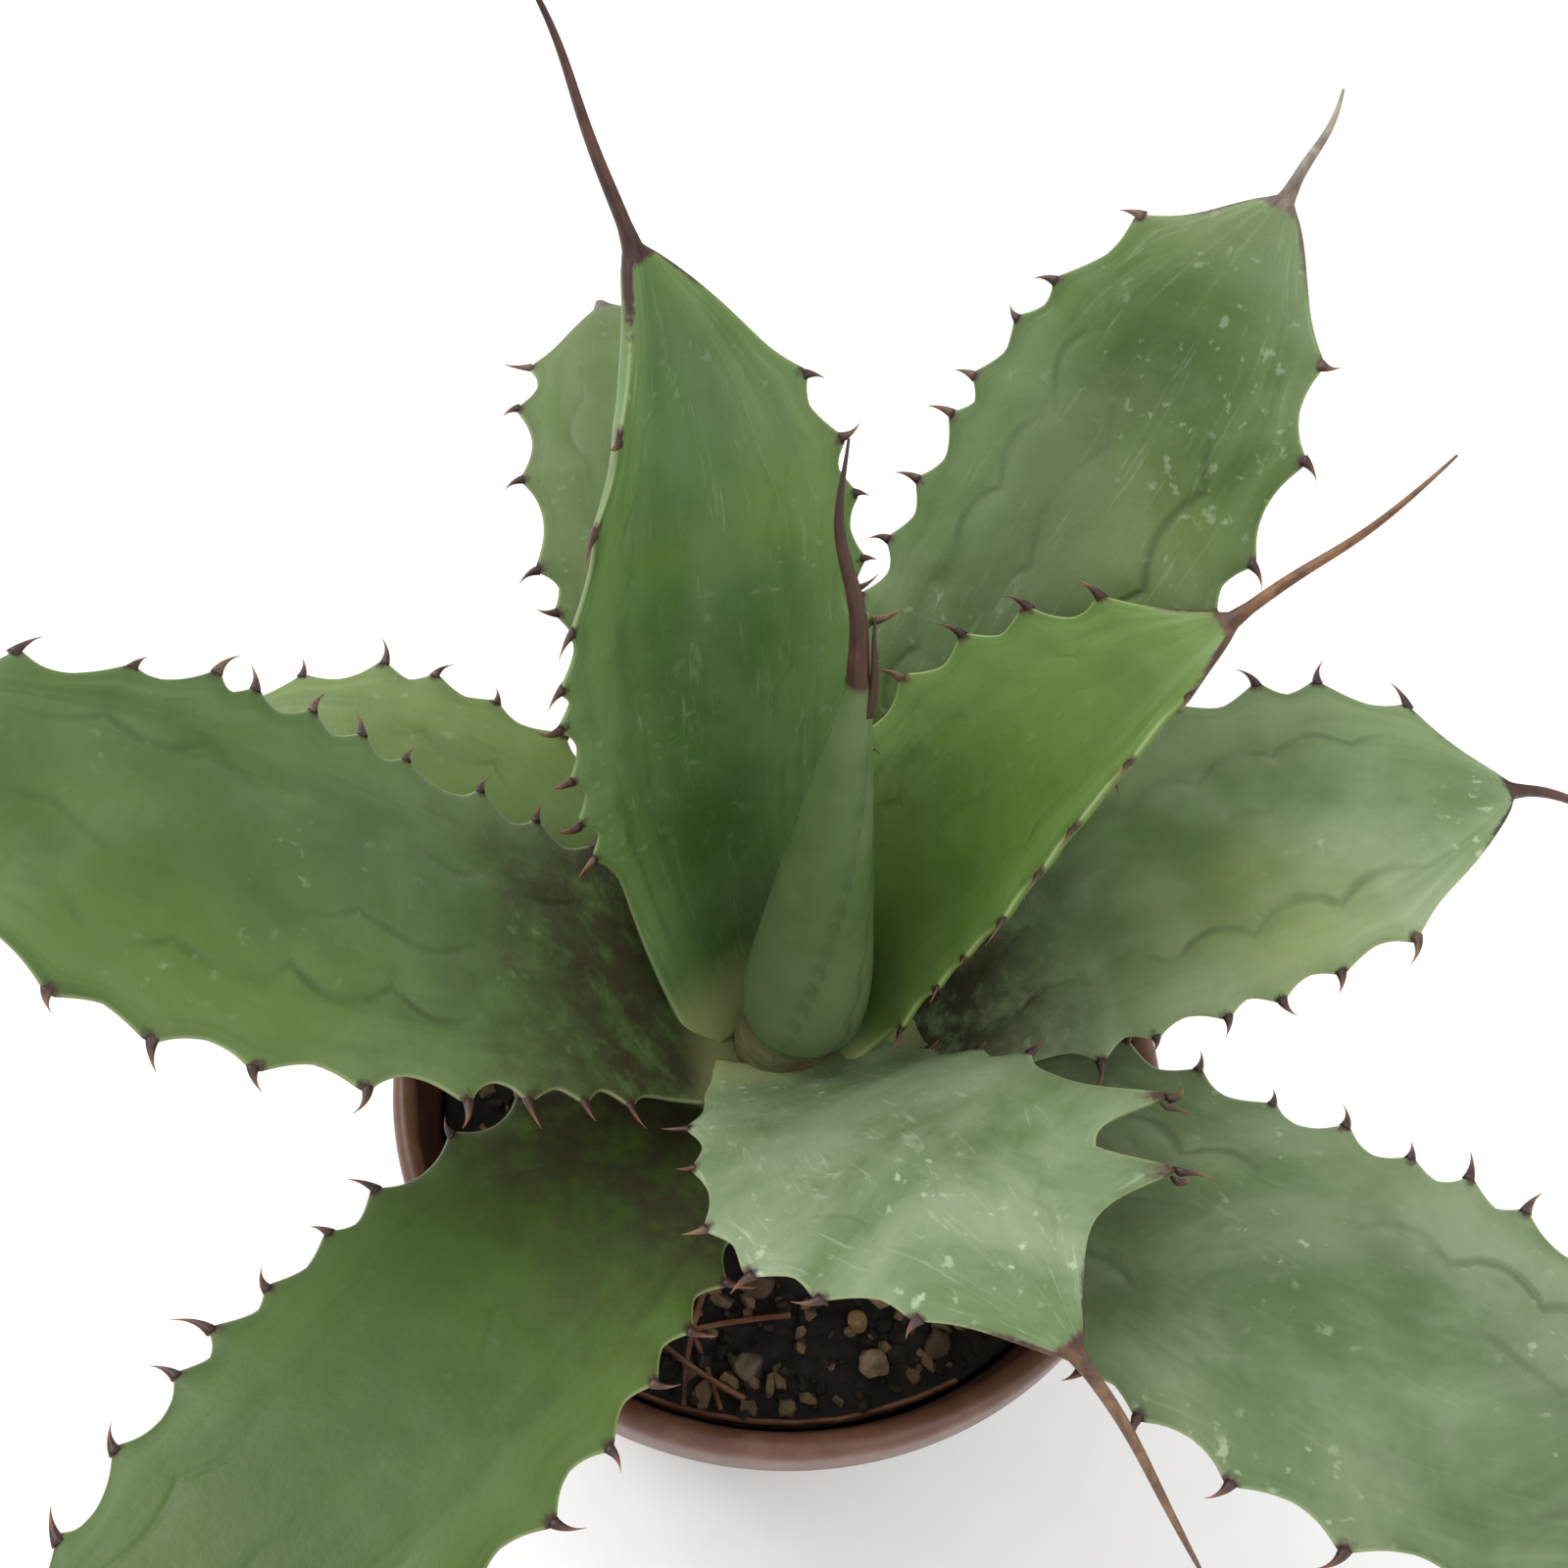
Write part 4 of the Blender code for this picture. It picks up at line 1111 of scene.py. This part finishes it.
def make_stone(node, number):
    """One gravel stone in its CAD stone's place: angular, chipped and pitted."""
    low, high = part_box(node)
    middle, size = (low + high) / 2, high - low
    chance = random.Random(node)
    form = bmesh.new()
    bmesh.ops.create_icosphere(form, subdivisions=4, radius=1.0)
    planes = []
    for _ in range(9):
        way = Vector((chance.gauss(0, 1), chance.gauss(0, 1), chance.gauss(0, 0.8))).normalized()
        planes.append((way, chance.uniform(0.58, 0.88)))
    offset = Vector((number * 3.1, number * 1.7, 0))
    for vert in form.verts:
        for way, limit in planes:
            over = vert.co.dot(way) - limit
            if over > 0:
                vert.co -= way * over * 0.85
        spot = vert.co * 2.2 + offset
        vert.co *= 1 + 0.07 * noise.noise(spot) + 0.03 * noise.noise(spot * 4)
        vert.co = Vector(part * span * 0.5 for part, span in zip(vert.co, size)) + middle
        vert.co.z -= STONE_SUNK
    piece = add_piece(node + "_fine", form, [stone_material(number)])
    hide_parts(node)


def dress_cad_nodes():
    """The stem and the dry needles keep their CAD shape and get their own materials."""
    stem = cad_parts["stem"]
    stem.data.materials.clear()
    stem.data.materials.append(stem_material())
    for number, name in enumerate(sorted(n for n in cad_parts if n.startswith("dry_needle"))):
        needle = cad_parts[name]
        needle.data.materials.clear()
        needle.data.materials.append(needle_material(number))


# ---- stage, light and camera


def make_stage():
    form = bmesh.new()
    bmesh.ops.create_grid(form, x_segments=2, y_segments=2, size=3.0)
    mesh = bpy.data.meshes.new("floor")
    form.to_mesh(mesh)
    form.free()
    mesh.materials.append(floor_material())
    floor = bpy.data.objects.new("floor", mesh)
    floor.location.z = -0.0002
    bpy.context.scene.collection.objects.link(floor)


def make_light(name, place, target, size, power):
    data = bpy.data.lights.new(name, "AREA")
    data.shape = "DISK"
    data.size = size
    data.energy = power
    lamp = bpy.data.objects.new(name, data)
    lamp.location = place
    lamp.rotation_mode = "QUATERNION"
    lamp.rotation_quaternion = (Vector(target) - Vector(place)).to_track_quat("-Z", "Y")
    bpy.context.scene.collection.objects.link(lamp)


def make_lights():
    world = bpy.data.worlds.new("studio")
    world.use_nodes = True
    sky = world.node_tree.nodes["Background"].inputs
    sky["Color"].default_value = (1.0, 1.0, 0.99, 1)
    sky["Strength"].default_value = 0.95
    bpy.context.scene.world = world
    target = (0, 0, 0.12)
    make_light("key", (-0.9, 0.5, 1.5), target, size=1.2, power=18)
    make_light("fill", (1.1, -0.6, 1.2), target, size=1.4, power=6)
    bpy.context.scene.view_settings.view_transform = "Standard"


def make_camera():
    """Looks down at the rosette from the front, rolled a little."""
    rim = Vector((0, 0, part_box("pot")[1].z))
    data = bpy.data.cameras.new("camera")
    data.sensor_width = 36
    data.lens = CAMERA_LENS
    camera = bpy.data.objects.new("camera", data)
    tilt = Matrix.Rotation(math.radians(CAMERA_TILT), 4, "X")
    roll = Matrix.Rotation(math.radians(CAMERA_ROLL), 4, "Z")
    camera.matrix_world = Matrix.Translation(rim + Vector(CAMERA_FROM_RIM)) @ (tilt @ roll)
    bpy.context.scene.collection.objects.link(camera)
    bpy.context.scene.camera = camera


def main():
    make_camera()
    make_stage()
    make_lights()
    make_pot()
    make_soil()
    make_spear()
    for node, look in LOOKS.items():
        make_leaf(node, look)
    for number, node in enumerate(sorted(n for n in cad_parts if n.startswith("grit_"))):
        make_stone(node, number)
    dress_cad_nodes()


main()
